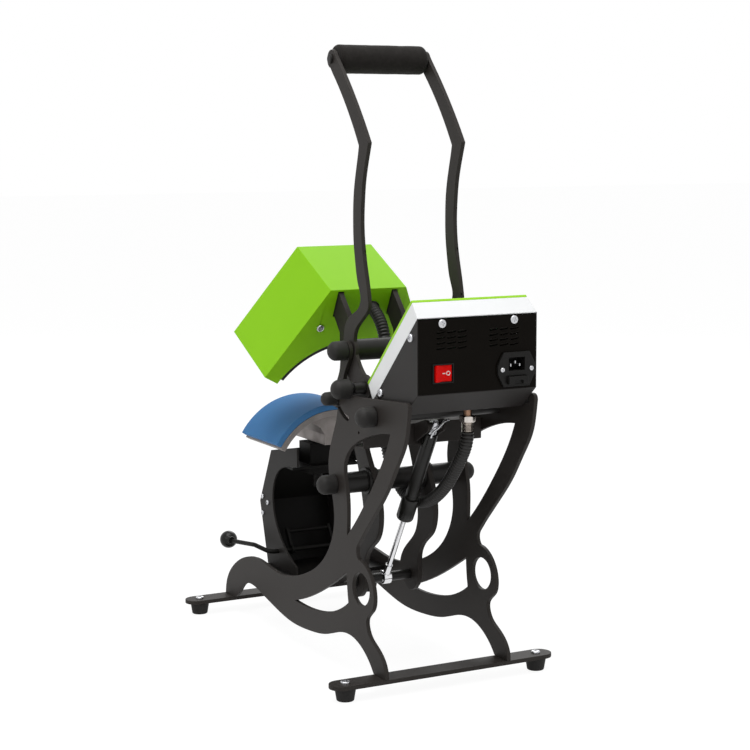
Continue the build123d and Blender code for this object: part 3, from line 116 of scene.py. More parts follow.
link(given.outputs["Patch Scale"], patches.inputs["Scale"])
link(given.outputs["Grain Scale"], grain.inputs["Scale"])
link(patches.outputs["Fac"], contrast.inputs["Value"])
link(contrast.outputs["Result"], blend_colour.inputs["Factor"])
link(given.outputs["Colour"], blend_colour.inputs["A"])
link(given.outputs["Shade"], blend_colour.inputs["B"])
link(patches.outputs["Fac"], wander.inputs[0])
link(wander.outputs["Value"], rough.inputs[0])
link(given.outputs["Spread"], rough.inputs[1])
link(given.outputs["Roughness"], rough.inputs[2])
link(blend_colour.outputs["Result"], made.inputs["Colour"])
link(rough.outputs["Value"], made.inputs["Roughness"])
link(grain.outputs["Fac"], made.inputs["Height"])


def finish(name, colour, shade, rough, spread, patch, grain, depth=0.05, bump=0.3, **sockets):
    """A material with an uneven colour, an uneven shine and a fine grain depth millimetres deep."""
    material = bpy.data.materials.new(name)
    material.use_nodes = True
    tree = material.node_tree
    shader = tree.nodes["Principled BSDF"]
    surface = tree.nodes.new("ShaderNodeGroup")
    surface.node_tree = uneven
    surface.inputs["Colour"].default_value = (*colour, 1)
    surface.inputs["Shade"].default_value = (*shade, 1)
    surface.inputs["Patch Scale"].default_value = patch
    surface.inputs["Grain Scale"].default_value = grain
    surface.inputs["Roughness"].default_value = rough
    surface.inputs["Spread"].default_value = spread
    relief = tree.nodes.new("ShaderNodeBump")
    relief.inputs["Strength"].default_value = bump
    relief.inputs["Distance"].default_value = depth / 1000
    tree.links.new(surface.outputs["Colour"], shader.inputs["Base Color"])
    tree.links.new(surface.outputs["Roughness"], shader.inputs["Roughness"])
    tree.links.new(surface.outputs["Height"], relief.inputs["Height"])
    tree.links.new(relief.outputs["Normal"], shader.inputs["Normal"])
    for socket, value in sockets.items():
        shader.inputs[socket.replace("_", " ").title().replace("Ior", "IOR")].default_value = value
    return material


def pick_only(*objects):
    """Selects these objects and nothing else, and makes the first one active."""
    bpy.ops.object.select_all(action="DESELECT")
    for each in objects:
        each.select_set(True)
    bpy.context.view_layer.objects.active = objects[0]


def placed(name, data):
    """A new object with this name and data, in the scene and picked alone."""
    piece = bpy.data.objects.new(name, data)
    bpy.context.scene.collection.objects.link(piece)
    pick_only(piece)
    return piece


def joined(name, pieces):
    """Several pieces joined into the first, under one name."""
    pick_only(*pieces)
    bpy.ops.object.join()
    pieces[0].name = name
    return pieces[0]


def seal_mesh(weld=None):
    """Welds the active mesh's points closer than weld metres and turns its faces outwards."""
    bpy.ops.object.mode_set(mode="EDIT")
    bpy.ops.mesh.select_all(action="SELECT")
    if weld:
        bpy.ops.mesh.remove_doubles(threshold=weld)
    bpy.ops.mesh.normals_make_consistent(inside=False)
    bpy.ops.object.mode_set(mode="OBJECT")


WELD = 0.00002
SOURCE_WELD = 0.00001
FLAT_ANGLE = radians(0.6)


def settle(piece, body, slot, material, *stands_for):
    """Gives a finished piece its material and its moving body, and hides the nodes it stands for; slot is not used."""
    piece.data.materials.clear()
    piece.data.materials.append(material)
    for polygon in piece.data.polygons:
        polygon.material_index = 0
    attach(piece, body)
    if stands_for:
        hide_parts(*stands_for)
    return piece


def broken_edges(piece, width, segments, angle=28):
    """Rounds the sharp edges of a piece by width millimetres, and keeps its flat faces flat to the eye."""
    pick_only(piece)
    bpy.ops.object.shade_smooth()
    bevel = piece.modifiers.new("broken edges", "BEVEL")
    bevel.width = width / 1000
    bevel.segments = segments
    bevel.limit_method = "ANGLE"
    bevel.angle_limit = radians(angle)
    bevel.use_clamp_overlap = False
    bevel.harden_normals = True
    bevel.miter_outer = "MITER_ARC"
    bpy.ops.object.modifier_apply(modifier=bevel.name)
    return piece


def cut_piece(node, width, material, slot, segments=2, merge_flats=True):
    """The cut, turned or moulded piece at a node: a copy of its shape with its edges broken."""
    source = frame["nodes"][node]
    piece = placed(node + "_finished", source.data.copy())
    bpy.ops.mesh.customdata_custom_splitnormals_clear()
    bpy.ops.object.mode_set(mode="EDIT")
    bpy.ops.mesh.select_all(action="SELECT")
    bpy.ops.mesh.remove_doubles(threshold=SOURCE_WELD)
    if merge_flats:
        bpy.ops.mesh.dissolve_limited(angle_limit=FLAT_ANGLE)
    bpy.ops.object.mode_set(mode="OBJECT")
    broken_edges(piece, width, segments)
    return settle(piece, source["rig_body"], slot, material, node)


# ---------------------------------------------------------------- conduit
# Corrugated black nylon conduit, 18.6 mm outside, that carries the heater and sensor wires
# from the gland under the control box, round below the middle tube, up to the heated head.
CONDUIT_POINTS = [(-0.030, 0.238, 0.354), (-0.030, 0.238, 0.338), (-0.029, 0.213, 0.303), (-0.027, 0.181, 0.265),
                  (-0.025, 0.134, 0.236), (-0.022, 0.081, 0.235), (-0.016, 0.044, 0.272), (-0.011, 0.033, 0.326),
                  (-0.009, 0.032, 0.380), (-0.010, 0.041, 0.434), (-0.012, 0.0281, 0.4879), (-0.012, -0.0039, 0.5043)]
CONDUIT_R = 0.0093
CONDUIT_ROOT_R = 0.0077
RIB_PITCH = 0.0047
RIB_SIDES = 28
RIB_STEPS = 6


def smooth_line(name, points, steps):
    """A curve drawn smoothly past the points, from the first to the last, in steps between each two."""
    curve = bpy.data.curves.new(name, "CURVE")
    curve.dimensions = "3D"
    curve.resolution_u = steps
    spline = curve.splines.new("NURBS")
    spline.points.add(len(points) - 1)
    for point, where in zip(spline.points, points):
        point.co = (*where, 1)
    spline.order_u = 3
    spline.use_endpoint_u = True
    return curve


conduit_line = bpy.data.objects.new("conduit_line", smooth_line("conduit_line", CONDUIT_POINTS, 24))
line_points = [vertex.co.copy() for vertex in bpy.data.meshes.new_from_object(conduit_line).vertices]
bpy.data.objects.remove(conduit_line)

# stations every sixth of a rib along the line
run = [0.0]
for before, after in zip(line_points, line_points[1:]):
    run.append(run[-1] + (after - before).length)
station_count = int(run[-1] / RIB_PITCH) * RIB_STEPS
stations = []
at = 0
for number in range(station_count + 1):
    distance = run[-1] * number / station_count
    while at < len(run) - 2 and run[at + 1] < distance:
        at += 1
    share = (distance - run[at]) / (run[at + 1] - run[at])
    stations.append(line_points[at].lerp(line_points[at + 1], share))

vertices, faces = [], []
side_way = Vector((1, 0, 0))
for number, centre in enumerate(stations):
    along = (stations[min(number + 1, station_count)] - stations[max(number - 1, 0)]).normalized()
    side_way = (side_way - along * side_way.dot(along)).normalized()
    other_way = along.cross(side_way)
    crest = 0.5 + 0.5 * cos(2 * pi * number / RIB_STEPS)
    radius = CONDUIT_ROOT_R + (CONDUIT_R - CONDUIT_ROOT_R) * crest ** 0.6
    for corner in range(RIB_SIDES):
        turn = 2 * pi * corner / RIB_SIDES
        vertices.append(centre + radius * (cos(turn) * side_way + sin(turn) * other_way))
for ring in range(station_count):
    for corner in range(RIB_SIDES):
        next_corner = (corner + 1) % RIB_SIDES
        faces.append((ring * RIB_SIDES + corner, ring * RIB_SIDES + next_corner,
                      (ring + 1) * RIB_SIDES + next_corner, (ring + 1) * RIB_SIDES + corner))
faces.append(tuple(reversed(range(RIB_SIDES))))
faces.append(tuple(station_count * RIB_SIDES + corner for corner in range(RIB_SIDES)))
conduit_mesh = bpy.data.meshes.new("ribbed_conduit")
conduit_mesh.from_pydata(vertices, [], faces)
ribbed_conduit = placed("ribbed_conduit", conduit_mesh)
seal_mesh()
bpy.ops.object.shade_smooth_by_angle(angle=radians(60))
conduit_nylon = finish("conduit_nylon", (0.0115, 0.0106, 0.0096), (0.018, 0.0168, 0.0155), rough=0.4, spread=0.2,
                       patch=60, grain=900, specular_ior_level=0.34)
ribbed_conduit.data.materials.append(conduit_nylon)
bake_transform(ribbed_conduit)
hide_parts("conduit")

# ---------------------------------------------------------------- studio
# A plain white floor with one large lamp overhead and a softer one on the camera's side.
# The eye and mirror-like pieces see white all round; the floor keeps a soft shadow.


def seen_rays(tree):
    """A value of one for rays from the camera, a reflection or through glass."""
    path = tree.nodes.new("ShaderNodeLightPath")
    either = tree.nodes.new("ShaderNodeMath")
    either.operation = "MAXIMUM"
    tree.links.new(path.outputs["Is Camera Ray"], either.inputs[0])
    tree.links.new(path.outputs["Is Glossy Ray"], either.inputs[1])
    every = tree.nodes.new("ShaderNodeMath")
    every.operation = "MAXIMUM"
    tree.links.new(either.outputs["Value"], every.inputs[0])
    tree.links.new(path.outputs["Is Transmission Ray"], every.inputs[1])
    return every.outputs["Value"]


world = bpy.data.worlds.new("studio")
world.use_nodes = True
bpy.context.scene.world = world
air = world.node_tree
fill_light = air.nodes["Background"]
fill_light.inputs["Color"].default_value = (1, 1, 1, 1)
fill_light.inputs["Strength"].default_value = 0.46
white_sky = air.nodes.new("ShaderNodeBackground")
white_sky.inputs["Color"].default_value = (1, 1, 1, 1)
white_sky.inputs["Strength"].default_value = 1
sky_choice = air.nodes.new("ShaderNodeMixShader")
air.links.new(seen_rays(air), sky_choice.inputs["Fac"])
air.links.new(fill_light.outputs["Background"], sky_choice.inputs[1])
air.links.new(white_sky.outputs["Background"], sky_choice.inputs[2])
air.links.new(sky_choice.outputs["Shader"], air.nodes["World Output"].inputs["Surface"])

bpy.ops.object.select_all(action="DESELECT")
bpy.ops.mesh.primitive_plane_add(size=40, location=(0, 0, -0.0005))
studio_floor = bpy.context.object
studio_floor.name = "studio_floor"
floor_paint = bpy.data.materials.new("floor_paint")
floor_paint.use_nodes = True
ground = floor_paint.node_tree
ground.nodes["Principled BSDF"].inputs["Base Color"].default_value = (0.86, 0.86, 0.86, 1)
ground.nodes["Principled BSDF"].inputs["Roughness"].default_value = 0.9
ground.nodes["Principled BSDF"].inputs["Specular IOR Level"].default_value = 0.1
glow = ground.nodes.new("ShaderNodeEmission")
glow.inputs["Strength"].default_value = 1.08
share_seen = ground.nodes.new("ShaderNodeMath")
share_seen.operation = "MULTIPLY"
share_seen.inputs[1].default_value = 0.86
floor_choice = ground.nodes.new("ShaderNodeMixShader")
ground.links.new(seen_rays(ground), share_seen.inputs[0])
ground.links.new(share_seen.outputs["Value"], floor_choice.inputs["Fac"])
ground.links.new(ground.nodes["Principled BSDF"].outputs["BSDF"], floor_choice.inputs[1])
ground.links.new(glow.outputs["Emission"], floor_choice.inputs[2])
ground.links.new(floor_choice.outputs["Shader"], ground.nodes["Material Output"].inputs["Surface"])
studio_floor.data.materials.append(floor_paint)

LAMP_AIM = Vector((0, 0, 0.4))
for lamp_name, lamp_place, lamp_size, lamp_power in [
        ("overhead_lamp", (0.4, 0.5, 3.2), 2.6, 86), ("side_lamp", (3.0, 1.2, 1.9), 1.8, 12),
        ("front_lamp", (-1.8, -2.6, 2.2), 1.8, 26)]:
    lamp_data = bpy.data.lights.new(lamp_name, "AREA")
    lamp_data.size = lamp_size
    lamp_data.energy = lamp_power
    lamp = bpy.data.objects.new(lamp_name, lamp_data)
    lamp.location = lamp_place
    lamp.rotation_euler = (LAMP_AIM - Vector(lamp_place)).to_track_quat("-Z", "Y").to_euler()
    bpy.context.scene.collection.objects.link(lamp)
bpy.context.scene.view_settings.view_transform = "Standard"

# ---------------------------------------------------------------- base bars and side plates
# Laser-cut 6 mm steel with black powder coat. The two plates stand in slots in the base
# bars, and their cut edges are broken before coating, so they catch a thin line of light.
powder_black = finish("powder_black", (0.0205, 0.0174, 0.0155), (0.0260, 0.0225, 0.0203), rough=0.52, spread=0.14,
                      patch=9, grain=1100, depth=0.05, bump=0.35, specular_ior_level=0.16)
for plate in ("side_plate_right", "side_plate_left", "base_bars"):
    cut_piece(plate, 0.7, powder_black, "powder_black")

# ---------------------------------------------------------------- feet
# Moulded rubber feet, screwed up into the bars, each with a pan-head screw on top. The
# screws are zinc-plated steel with a cross recess, as on the rest of the press.
foot_rubber = finish("foot_rubber", (0.014, 0.0133, 0.0128), (0.022, 0.021, 0.020), rough=0.7, spread=0.12,
                     patch=80, grain=1600, depth=0.06, specular_ior_level=0.2)
cut_piece("rubber_feet", 1.4, foot_rubber, "foot_rubber", segments=3)

zinc_steel = finish("zinc_steel", (0.62, 0.62, 0.63), (0.50, 0.51, 0.54), rough=0.27, spread=0.16, patch=220,
                    grain=2600, depth=0.01, metallic=1)


def pan_head(radius, height):
    """A pan-head screw's head with a cross recess, upright on the origin."""
    bpy.ops.object.select_all(action="DESELECT")
    bpy.ops.mesh.primitive_cylinder_add(vertices=40, radius=radius, depth=height, location=(0, 0, height / 2))
    head = bpy.context.object
    bpy.ops.object.transform_apply(location=True)
    bpy.ops.object.mode_set(mode="EDIT")
    bpy.ops.mesh.select_all(action="DESELECT")
    bpy.ops.object.mode_set(mode="OBJECT")
    for edge in head.data.edges:
        edge.select = all(head.data.vertices[corner].co.z > height * 0.9 for corner in edge.vertices)
    bpy.ops.object.mode_set(mode="EDIT")
    bpy.ops.mesh.bevel(offset=height * 0.68, segments=5, profile=0.55)
    bpy.ops.object.mode_set(mode="OBJECT")
    for turn in (0, pi / 2):
        bpy.ops.object.select_all(action="DESELECT")
        bpy.ops.mesh.primitive_cube_add(size=1, location=(0, 0, height), rotation=(0, 0, turn))
        slot_tool = bpy.context.object
        slot_tool.scale = (radius * 1.05, radius * 0.24, height * 0.9)
        pick_only(head)
        slot_cut = head.modifiers.new("recess", "BOOLEAN")
        slot_cut.operation = "DIFFERENCE"
        slot_cut.object = slot_tool
        bpy.ops.object.modifier_apply(modifier=slot_cut.name)
        bpy.data.objects.remove(slot_tool)
    pick_only(head)
    bpy.ops.object.shade_smooth_by_angle(angle=radians(35))
    return head


def screws(name, node, slot, template, places, material, body):
    """Copies of one screw head, each pushed to its place and turned along its normal, joined into one piece."""
    copies = []
    for number, (place, way) in enumerate(places):
        copy = placed(name, template.data.copy())
        facing = Vector(way).to_track_quat("Z", "Y").to_matrix().to_4x4()
        turned = Matrix.Rotation(0.5 + 1.1 * number, 4, "Z")
        copy.data.transform(Matrix.Translation(place) @ facing @ turned)
        copies.append(copy)
    return settle(joined(name, copies), body, slot, material, node)


FOOT_X = 0.1522
BAR_YS = (-0.2883, 0.225)
BAR_TOP = 0.024
foot_head = pan_head(0.0065, 0.003)
screws("foot_screw_heads", "foot_screws", "zinc_steel", foot_head,
       [((x, y, BAR_TOP), (0, 0, 1)) for y in BAR_YS for x in (FOOT_X, -FOOT_X)], zinc_steel, "frame")
bpy.data.objects.remove(foot_head)

# ---------------------------------------------------------------- cross members
# Painted steel tubes and rods across the machine, the folded beam behind the swing arms,
# and the moulded rubber caps pushed over the rod ends.
black_steel = finish("black_steel", (0.0100, 0.0092, 0.0085), (0.016, 0.0148, 0.0138), rough=0.4, spread=0.18,
                     patch=30, grain=1300, depth=0.03, specular_ior_level=0.22)
cap_rubber = finish("cap_rubber", (0.0135, 0.0126, 0.0118), (0.019, 0.0178, 0.0168), rough=0.6, spread=0.15,
                    patch=90, grain=1500, depth=0.05, specular_ior_level=0.22)
# the same black powder coat painted much darker, as painted shade on the pieces under the head and inside the stand
shaded_black = finish("shaded_black", (0.0042, 0.0039, 0.0034), (0.0064, 0.0059, 0.0053), rough=0.5, spread=0.15,
                     patch=14, grain=1100, depth=0.04, specular_ior_level=0.10)
for node, width in (("mid_tube", 0.5), ("rear_tie_tube", 0.4), ("pivot_collars", 0.5), ("pivot_sleeves", 0.4),
                    ("lower_bar", 0.5), ("toggle_shaft", 0.4)):
    cut_piece(node, width, black_steel, "powder_black", merge_flats=node != "lower_bar")
for node, width in (("cross_beam", 0.8), ("spring_bracket", 0.5), ("toggle_links", 0.6)):
    cut_piece(node, width, powder_black, "powder_black")
for node in ("tie_rods", "handle_rods", "stop_pins"):
    cut_piece(node, 0.4, black_steel, "black_steel")
for node in ("dome_caps", "handle_caps", "stop_knobs"):
    cut_piece(node, 0.6, cap_rubber, "cap_rubber", segments=3)

# ---------------------------------------------------------------- swing arms and handle
# The swing arms and the long cranked handle arms are cut from steel plate, with the same
# powder coat as the side plates. The handle's cross tubes have the smoother black of
# the machine's own tubes.
for node in ("swing_arms", "handle_arms"):
    cut_piece(node, 0.8, powder_black, "powder_black")
cut_piece("handle_tubes", 0.5, black_steel, "powder_black")

# The grip is a sleeve of closed-cell foam, pulled on over the top tube. Its ends are
# soft and rounded, and hands have left it slightly out of round.
GRIP_Y = 0.041
GRIP_Z = 0.862
GRIP_HALF = 0.0700
GRIP_BORE = 0.0112
FOAM_R = 0.0201
FOAM_ROUND = 0.006
FOAM_STATIONS = 44
END_GAP = 0.0003
foam_black = finish("foam_black", (0.0098, 0.0083, 0.0072), (0.0145, 0.0125, 0.0112), rough=0.9, spread=0.08,
                    patch=120, grain=2600, depth=0.25, bump=0.5, specular_ior_level=0.1, sheen_weight=0.06,
                    sheen_roughness=0.6)


def lathe(name, profile, sides=48):
    """A piece turned about +Z from (radius, height) pairs, closed at both ends."""
    mesh = bpy.data.meshes.new(name)
    mesh.from_pydata([(radius, 0, height) for radius, height in profile],
                     [(n, n + 1) for n in range(len(profile) - 1)], [])
    piece = placed(name, mesh)
    bpy.ops.object.mode_set(mode="EDIT")
    bpy.ops.mesh.select_all(action="SELECT")
    bpy.ops.mesh.spin(steps=sides, angle=2 * pi, center=(0, 0, 0), axis=(0, 0, 1))
    seal_mesh(WELD)
    bpy.ops.object.shade_smooth_by_angle(angle=radians(38))
    return piece


# half of the outline in radius and height, its mirror image, and the bore back to the start
bore_end = GRIP_HALF - END_GAP
straight = GRIP_HALF - FOAM_ROUND
foam_end = [(FOAM_R - FOAM_ROUND * (1 - sin(radians(a))), -GRIP_HALF + FOAM_ROUND * (1 - cos(radians(a))))
            for a in range(0, 91, 15)]
foam_side = [(FOAM_R, -straight + 2 * straight * n / FOAM_STATIONS) for n in range(1, FOAM_STATIONS)]
foam_line = [(GRIP_BORE, -bore_end)] + foam_end + foam_side
foam_line += [(r, -z) for r, z in reversed(foam_end)] + [(GRIP_BORE, bore_end), (GRIP_BORE, -bore_end)]
foam = lathe("foam_sleeve", foam_line, 64)
squeeze = bpy.data.textures.new("hand_marks", "CLOUDS")
squeeze.noise_scale = 0.02
dents = foam.modifiers.new("dents", "DISPLACE")
dents.texture = squeeze
dents.strength = 0.0008
dents.mid_level = 0.5
pick_only(foam)
bpy.ops.object.modifier_apply(modifier=dents.name)
foam.data.transform(Matrix.Translation((0, GRIP_Y, GRIP_Z)) @ Matrix.Rotation(radians(90), 4, "Y"))
bpy.ops.object.shade_smooth_by_angle(angle=radians(50))
settle(foam, "handle", "foam_black", foam_black, "foam_grip")

# ---------------------------------------------------------------- gas spring
# A bought gas spring: a black painted barrel with a wider guide sleeve at its mouth, a
# hard-chromed rod, and plated end fittings. A bent wire clip locks the upper one.
SPRING_TOP = Vector((0, 0.199, 0.360))
SPRING_FOOT = Vector((0, 0.056, 0.116))
spring_turn = (SPRING_FOOT - SPRING_TOP).to_track_quat("Z", "X").to_matrix().to_4x4()
spring_place = Matrix.Translation(SPRING_TOP) @ spring_turn

barrel = lathe("spring_barrel", [
    (0, 0.013), (0.0065, 0.013), (0.0085, 0.0138), (0.0095, 0.016), (0.0095, 0.121), (0.0092, 0.1225), (0.0092, 0.1245),
    (0.0095, 0.126), (0.0095, 0.129), (0.0118, 0.1293), (0.0125, 0.1305), (0.0125, 0.1655), (0.0119, 0.1672),
    (0.0105, 0.1683), (0.0055, 0.1683), (0.0048, 0.1668), (0, 0.1668)])
barrel.data.transform(spring_place)
spring_paint = finish("spring_paint", (0.0070, 0.0068, 0.0058), (0.0105, 0.0101, 0.0088), rough=0.3, spread=0.2,
                      patch=40, grain=900, depth=0.02, specular_ior_level=0.3)
settle(barrel, "spring_cylinder", "black_steel", spring_paint)

top_end = lathe("spring_top_fitting", [
    (0, 0.0145), (0.0052, 0.0145), (0.0060, 0.0135), (0.0060, 0.0085), (0.0056, 0.0078), (0.0056, 0.0060),
    (0.0062, 0.0050), (0.0066, -0.0020), (0.0058, -0.0060), (0.0038, -0.0078), (0, -0.0080)])
top_end.data.transform(spring_place)
settle(top_end, "spring_cylinder", "zinc_steel", zinc_steel, "gas_cylinder")

CLIP_POINTS = [(0.0075, 0.2035, 0.344), (0.0072, 0.2060, 0.352), (-0.0010, 0.2085, 0.3570),
               (-0.0075, 0.2088, 0.3632), (-0.0120, 0.2083, 0.3678), (-0.0185, 0.2083, 0.3680)]
CLIP_WIRE_R = 0.0015
clip_curve = smooth_line("spring_wire_clip", CLIP_POINTS, 10)
clip_curve.bevel_depth = CLIP_WIRE_R
clip_curve.bevel_resolution = 5
clip_curve.use_fill_caps = True
placed("spring_wire_clip", clip_curve)
bpy.ops.object.convert(target="MESH")
seal_mesh(WELD)
bpy.ops.object.shade_smooth_by_angle(angle=radians(40))
settle(bpy.context.object, "spring_cylinder", "zinc_steel", zinc_steel)

rod_chrome = finish("rod_chrome", (0.80, 0.80, 0.81), (0.74, 0.74, 0.76), rough=0.10, spread=0.08, patch=90,
                    grain=2000, depth=0.004, metallic=1)
cut_piece("gas_rod", 0.4, rod_chrome, "rod_chrome")

# ---------------------------------------------------------------- heated head
# A folded sheet cover in lime green powder coat over a curved, black-coated heating
# platen. Two slots at the rear let the arms in, and two pan screws hold the cover.
cover_green = finish("cover_green", (0.208, 0.492, 0.004), (0.225, 0.515, 0.007), rough=0.46, spread=0.1, patch=7,
                     grain=1200, depth=0.04, bump=0.3, specular_ior_level=0.16)
cut_piece("head_cover", 0.5, cover_green, "cover_green", merge_flats=False)
# the arch's many small flats are each shaded flat, so the sheet shows no creases
bpy.ops.mesh.customdata_custom_splitnormals_clear()
bpy.ops.object.shade_flat()
platen_black = finish("platen_black", (0.0105, 0.0098, 0.0092), (0.016, 0.015, 0.0142), rough=0.42, spread=0.15,
                      patch=35, grain=1500, depth=0.04, specular_ior_level=0.25)
cut_piece("heat_platen", 0.6, platen_black, "platen_black")
# the hanger under the head takes the darkened black, as painted shade
cut_piece("platen_hanger", 0.5, shaded_black, "powder_black")

OPEN_TILT = radians(27.08)
HEAD_OUT = Vector((0, cos(OPEN_TILT), -sin(OPEN_TILT)))
HEAD_UP = Vector((0, sin(OPEN_TILT), cos(OPEN_TILT)))
HEAD_TOP = Vector((0, 0.0071, 0.5346))
HEAD_SCREW_X = 0.0656
HEAD_SCREW_DROP = 0.0638
box_head = pan_head(0.0058, 0.003)
screws("head_screw_heads", "head_screws", "zinc_steel", box_head,
       [(HEAD_TOP + Vector((x, 0, 0)) - HEAD_SCREW_DROP * HEAD_UP, HEAD_OUT) for x in (HEAD_SCREW_X, -HEAD_SCREW_X)],
       zinc_steel, "swing")

nylon_black = finish("nylon_black", (0.0115, 0.0108, 0.0102), (0.017, 0.016, 0.0152), rough=0.42, spread=0.15,
                     patch=70, grain=1400, depth=0.03, specular_ior_level=0.3)
cut_piece("head_gland", 0.8, nylon_black, "conduit_black", segments=3)

# ---------------------------------------------------------------- lower platen and pad
# A raw cast-aluminium saddle on a threaded post, with a moulded blue silicone pad
# bonded over its crown.
cast_aluminium = finish("cast_aluminium", (0.33, 0.300, 0.288), (0.25, 0.228, 0.218), rough=0.55, spread=0.25, patch=45,
                        grain=420, depth=0.35, bump=0.6, metallic=0.75)
cut_piece("lower_platen", 1.0, cast_aluminium, "cast_aluminium")
pad_blue = finish("pad_blue", (0.050, 0.162, 0.355), (0.060, 0.180, 0.380), rough=0.72, spread=0.1, patch=16,
                  grain=1800, depth=0.04, bump=0.3, specular_ior_level=0.12, subsurface_weight=0.06,
                  subsurface_scale=0.003)
pad = cut_piece("silicone_pad", 1.6, pad_blue, "pad_blue", segments=4)

# a rolled thread: one turn of its outline, wound up the post's core
POST_Y = -0.168
POST_TOP_Z = 0.2985
POST_LENGTH = 0.086
POST_CORE_R = 0.0071
THREAD_PITCH = 0.002
thread_mesh = bpy.data.meshes.new("platen_post_thread")
thread_mesh.from_pydata([(0.0069, 0, 0), (0.0079, 0, THREAD_PITCH * 0.44), (0.0079, 0, THREAD_PITCH * 0.56),
                         (0.0069, 0, THREAD_PITCH)], [(0, 1), (1, 2), (2, 3)], [])
thread = placed("platen_post_thread", thread_mesh)
winding = thread.modifiers.new("winding", "SCREW")
winding.axis = "Z"
winding.screw_offset = THREAD_PITCH
winding.iterations = int(POST_LENGTH / THREAD_PITCH) - 1
winding.steps = 32
winding.render_steps = 32
winding.use_merge_vertices = True
winding.merge_threshold = WELD
bpy.ops.object.modifier_apply(modifier=winding.name)
seal_mesh(WELD)
core = lathe("post_core", [(0, 0.0002), (0.0062, 0.0002), (POST_CORE_R, 0.0012),
                           (POST_CORE_R, POST_LENGTH - 0.0002), (0, POST_LENGTH - 0.0002)], 32)
joined("platen_post_thread", [thread, core])
thread.data.transform(Matrix.Translation((0, POST_Y, POST_TOP_Z - POST_LENGTH)))
bpy.ops.object.shade_smooth_by_angle(angle=radians(30))
settle(thread, "lower_platen", "black_steel", black_steel, "platen_post")


def hex_nut(name, corner_radius, height, bore):
    """A hexagon nut with turned chamfers on both faces and a countersunk bore, upright on the origin."""
    bpy.ops.mesh.primitive_cylinder_add(vertices=6, radius=corner_radius, depth=height, location=(0, 0, height / 2))
    nut = bpy.context.object
    nut.name = name
    bpy.ops.object.transform_apply(location=True)
    broken_edges(nut, 0.25, 1, 35)
    # both tools reach past the nut's faces, so that no cut lies in a face
    past, sink = 0.001, 0.0003
    tip = corner_radius * 0.88 - past * corner_radius / height
    wide, mouth = corner_radius * 1.01, bore + past + sink
    chamfer = lathe("chamfer_tool", [(0, -past), (tip, -past), (wide, height * 0.13), (wide, height * 0.87),
                                     (tip, height + past), (0, height + past)])
    hole = lathe("bore_tool", [(0, -past), (mouth, -past), (bore, sink), (bore, height - sink),
                               (mouth, height + past), (0, height + past)])
    for tool, operation in ((chamfer, "INTERSECT"), (hole, "DIFFERENCE")):
        pick_only(nut)
        shaped = nut.modifiers.new("shaped", "BOOLEAN")
        shaped.operation = operation
        shaped.object = tool
        bpy.ops.object.modifier_apply(modifier=shaped.name)
        bpy.data.objects.remove(tool)
    bpy.ops.object.shade_smooth_by_angle(angle=radians(30))
    return nut


SHELF_Z = 0.247
SHELF_THICK = 0.004
NUT_HEIGHT = 0.013
NUT_CORNER_R = 0.013
NUT_BORE_R = 0.0081
NUT_TURN = radians(17)
nuts = []
for nut_z in (SHELF_Z + SHELF_THICK, SHELF_Z - NUT_HEIGHT):
    nut = hex_nut("post_nut", NUT_CORNER_R, NUT_HEIGHT, NUT_BORE_R)
    nut.data.transform(Matrix.Translation((0, POST_Y, nut_z)) @ Matrix.Rotation(NUT_TURN, 4, "Z"))
    nuts.append(nut)
settle(joined("post_lock_nuts", nuts), "frame", "black_steel", black_steel, "post_nuts")

# ---------------------------------------------------------------- stand
# Two cheeks, a bent front sheet and the shelves between them, all cut from steel sheet
# and coated black. Three small pan screws a side hold them together.
# the cheeks take the black powder coat painted darker, as painted shade inside the stand
cheek_shaded_black = finish("cheek_shaded_black", (0.0115, 0.0100, 0.0090), (0.0155, 0.0138, 0.0126), rough=0.5, spread=0.14,
                     patch=11, grain=1100, depth=0.05, bump=0.35, specular_ior_level=0.15)
cut_piece("stand_sides", 0.5, cheek_shaded_black, "powder_black")
# the front sheet and the shelves take the darkened black, as painted shade inside the stand
for node in ("stand_front", "stand_shelves"):
    cut_piece(node, 0.5, shaded_black, "powder_black")
STAND_HALF = 0.0600
STAND_SCREWS = ((-0.243, 0.189), (-0.243, 0.162), (-0.224, 0.182))
small_head = pan_head(0.0040, 0.0025)
screws("stand_screw_heads", "stand_screws", "zinc_steel", small_head,
       [((side * STAND_HALF, y, z), (side, 0, 0)) for side in (1, -1) for y, z in STAND_SCREWS], zinc_steel, "frame")
bpy.data.objects.remove(small_head)

# ---------------------------------------------------------------- hold-down lever
# A bent black rod through the cheeks with a wire hook inside, ending in a black
# phenolic ball.
# the lever through the cheeks takes the same darkened black, as painted shade
cut_piece("holddown_lever", 0.3, shaded_black, "powder_black")
ball_black = finish("ball_black", (0.0058, 0.0054, 0.0050), (0.0090, 0.0084, 0.0078), rough=0.2, spread=0.1, patch=60,
                    grain=900, depth=0.01, specular_ior_level=0.2)
BALL_PLACE = Vector((0.0915, -0.3102, 0.109))
BALL_R = 0.014
LEVER_END = Vector((-0.0065, -0.0882, -0.008))
ball = lathe("lever_ball", [(0, -0.0165), (0.0052, -0.0165), (0.0058, -0.0158), (0.0058, -0.0140), (0.0066, -0.01235)]
             + [(BALL_R * sin(radians(a)), -BALL_R * cos(radians(a))) for a in range(33, 180, 7)] + [(0, BALL_R)])
ball.data.transform(Matrix.Translation(BALL_PLACE) @ LEVER_END.to_track_quat("Z", "X").to_matrix().to_4x4())
settle(ball, "lever", "knob_black", ball_black, "ball_knob")

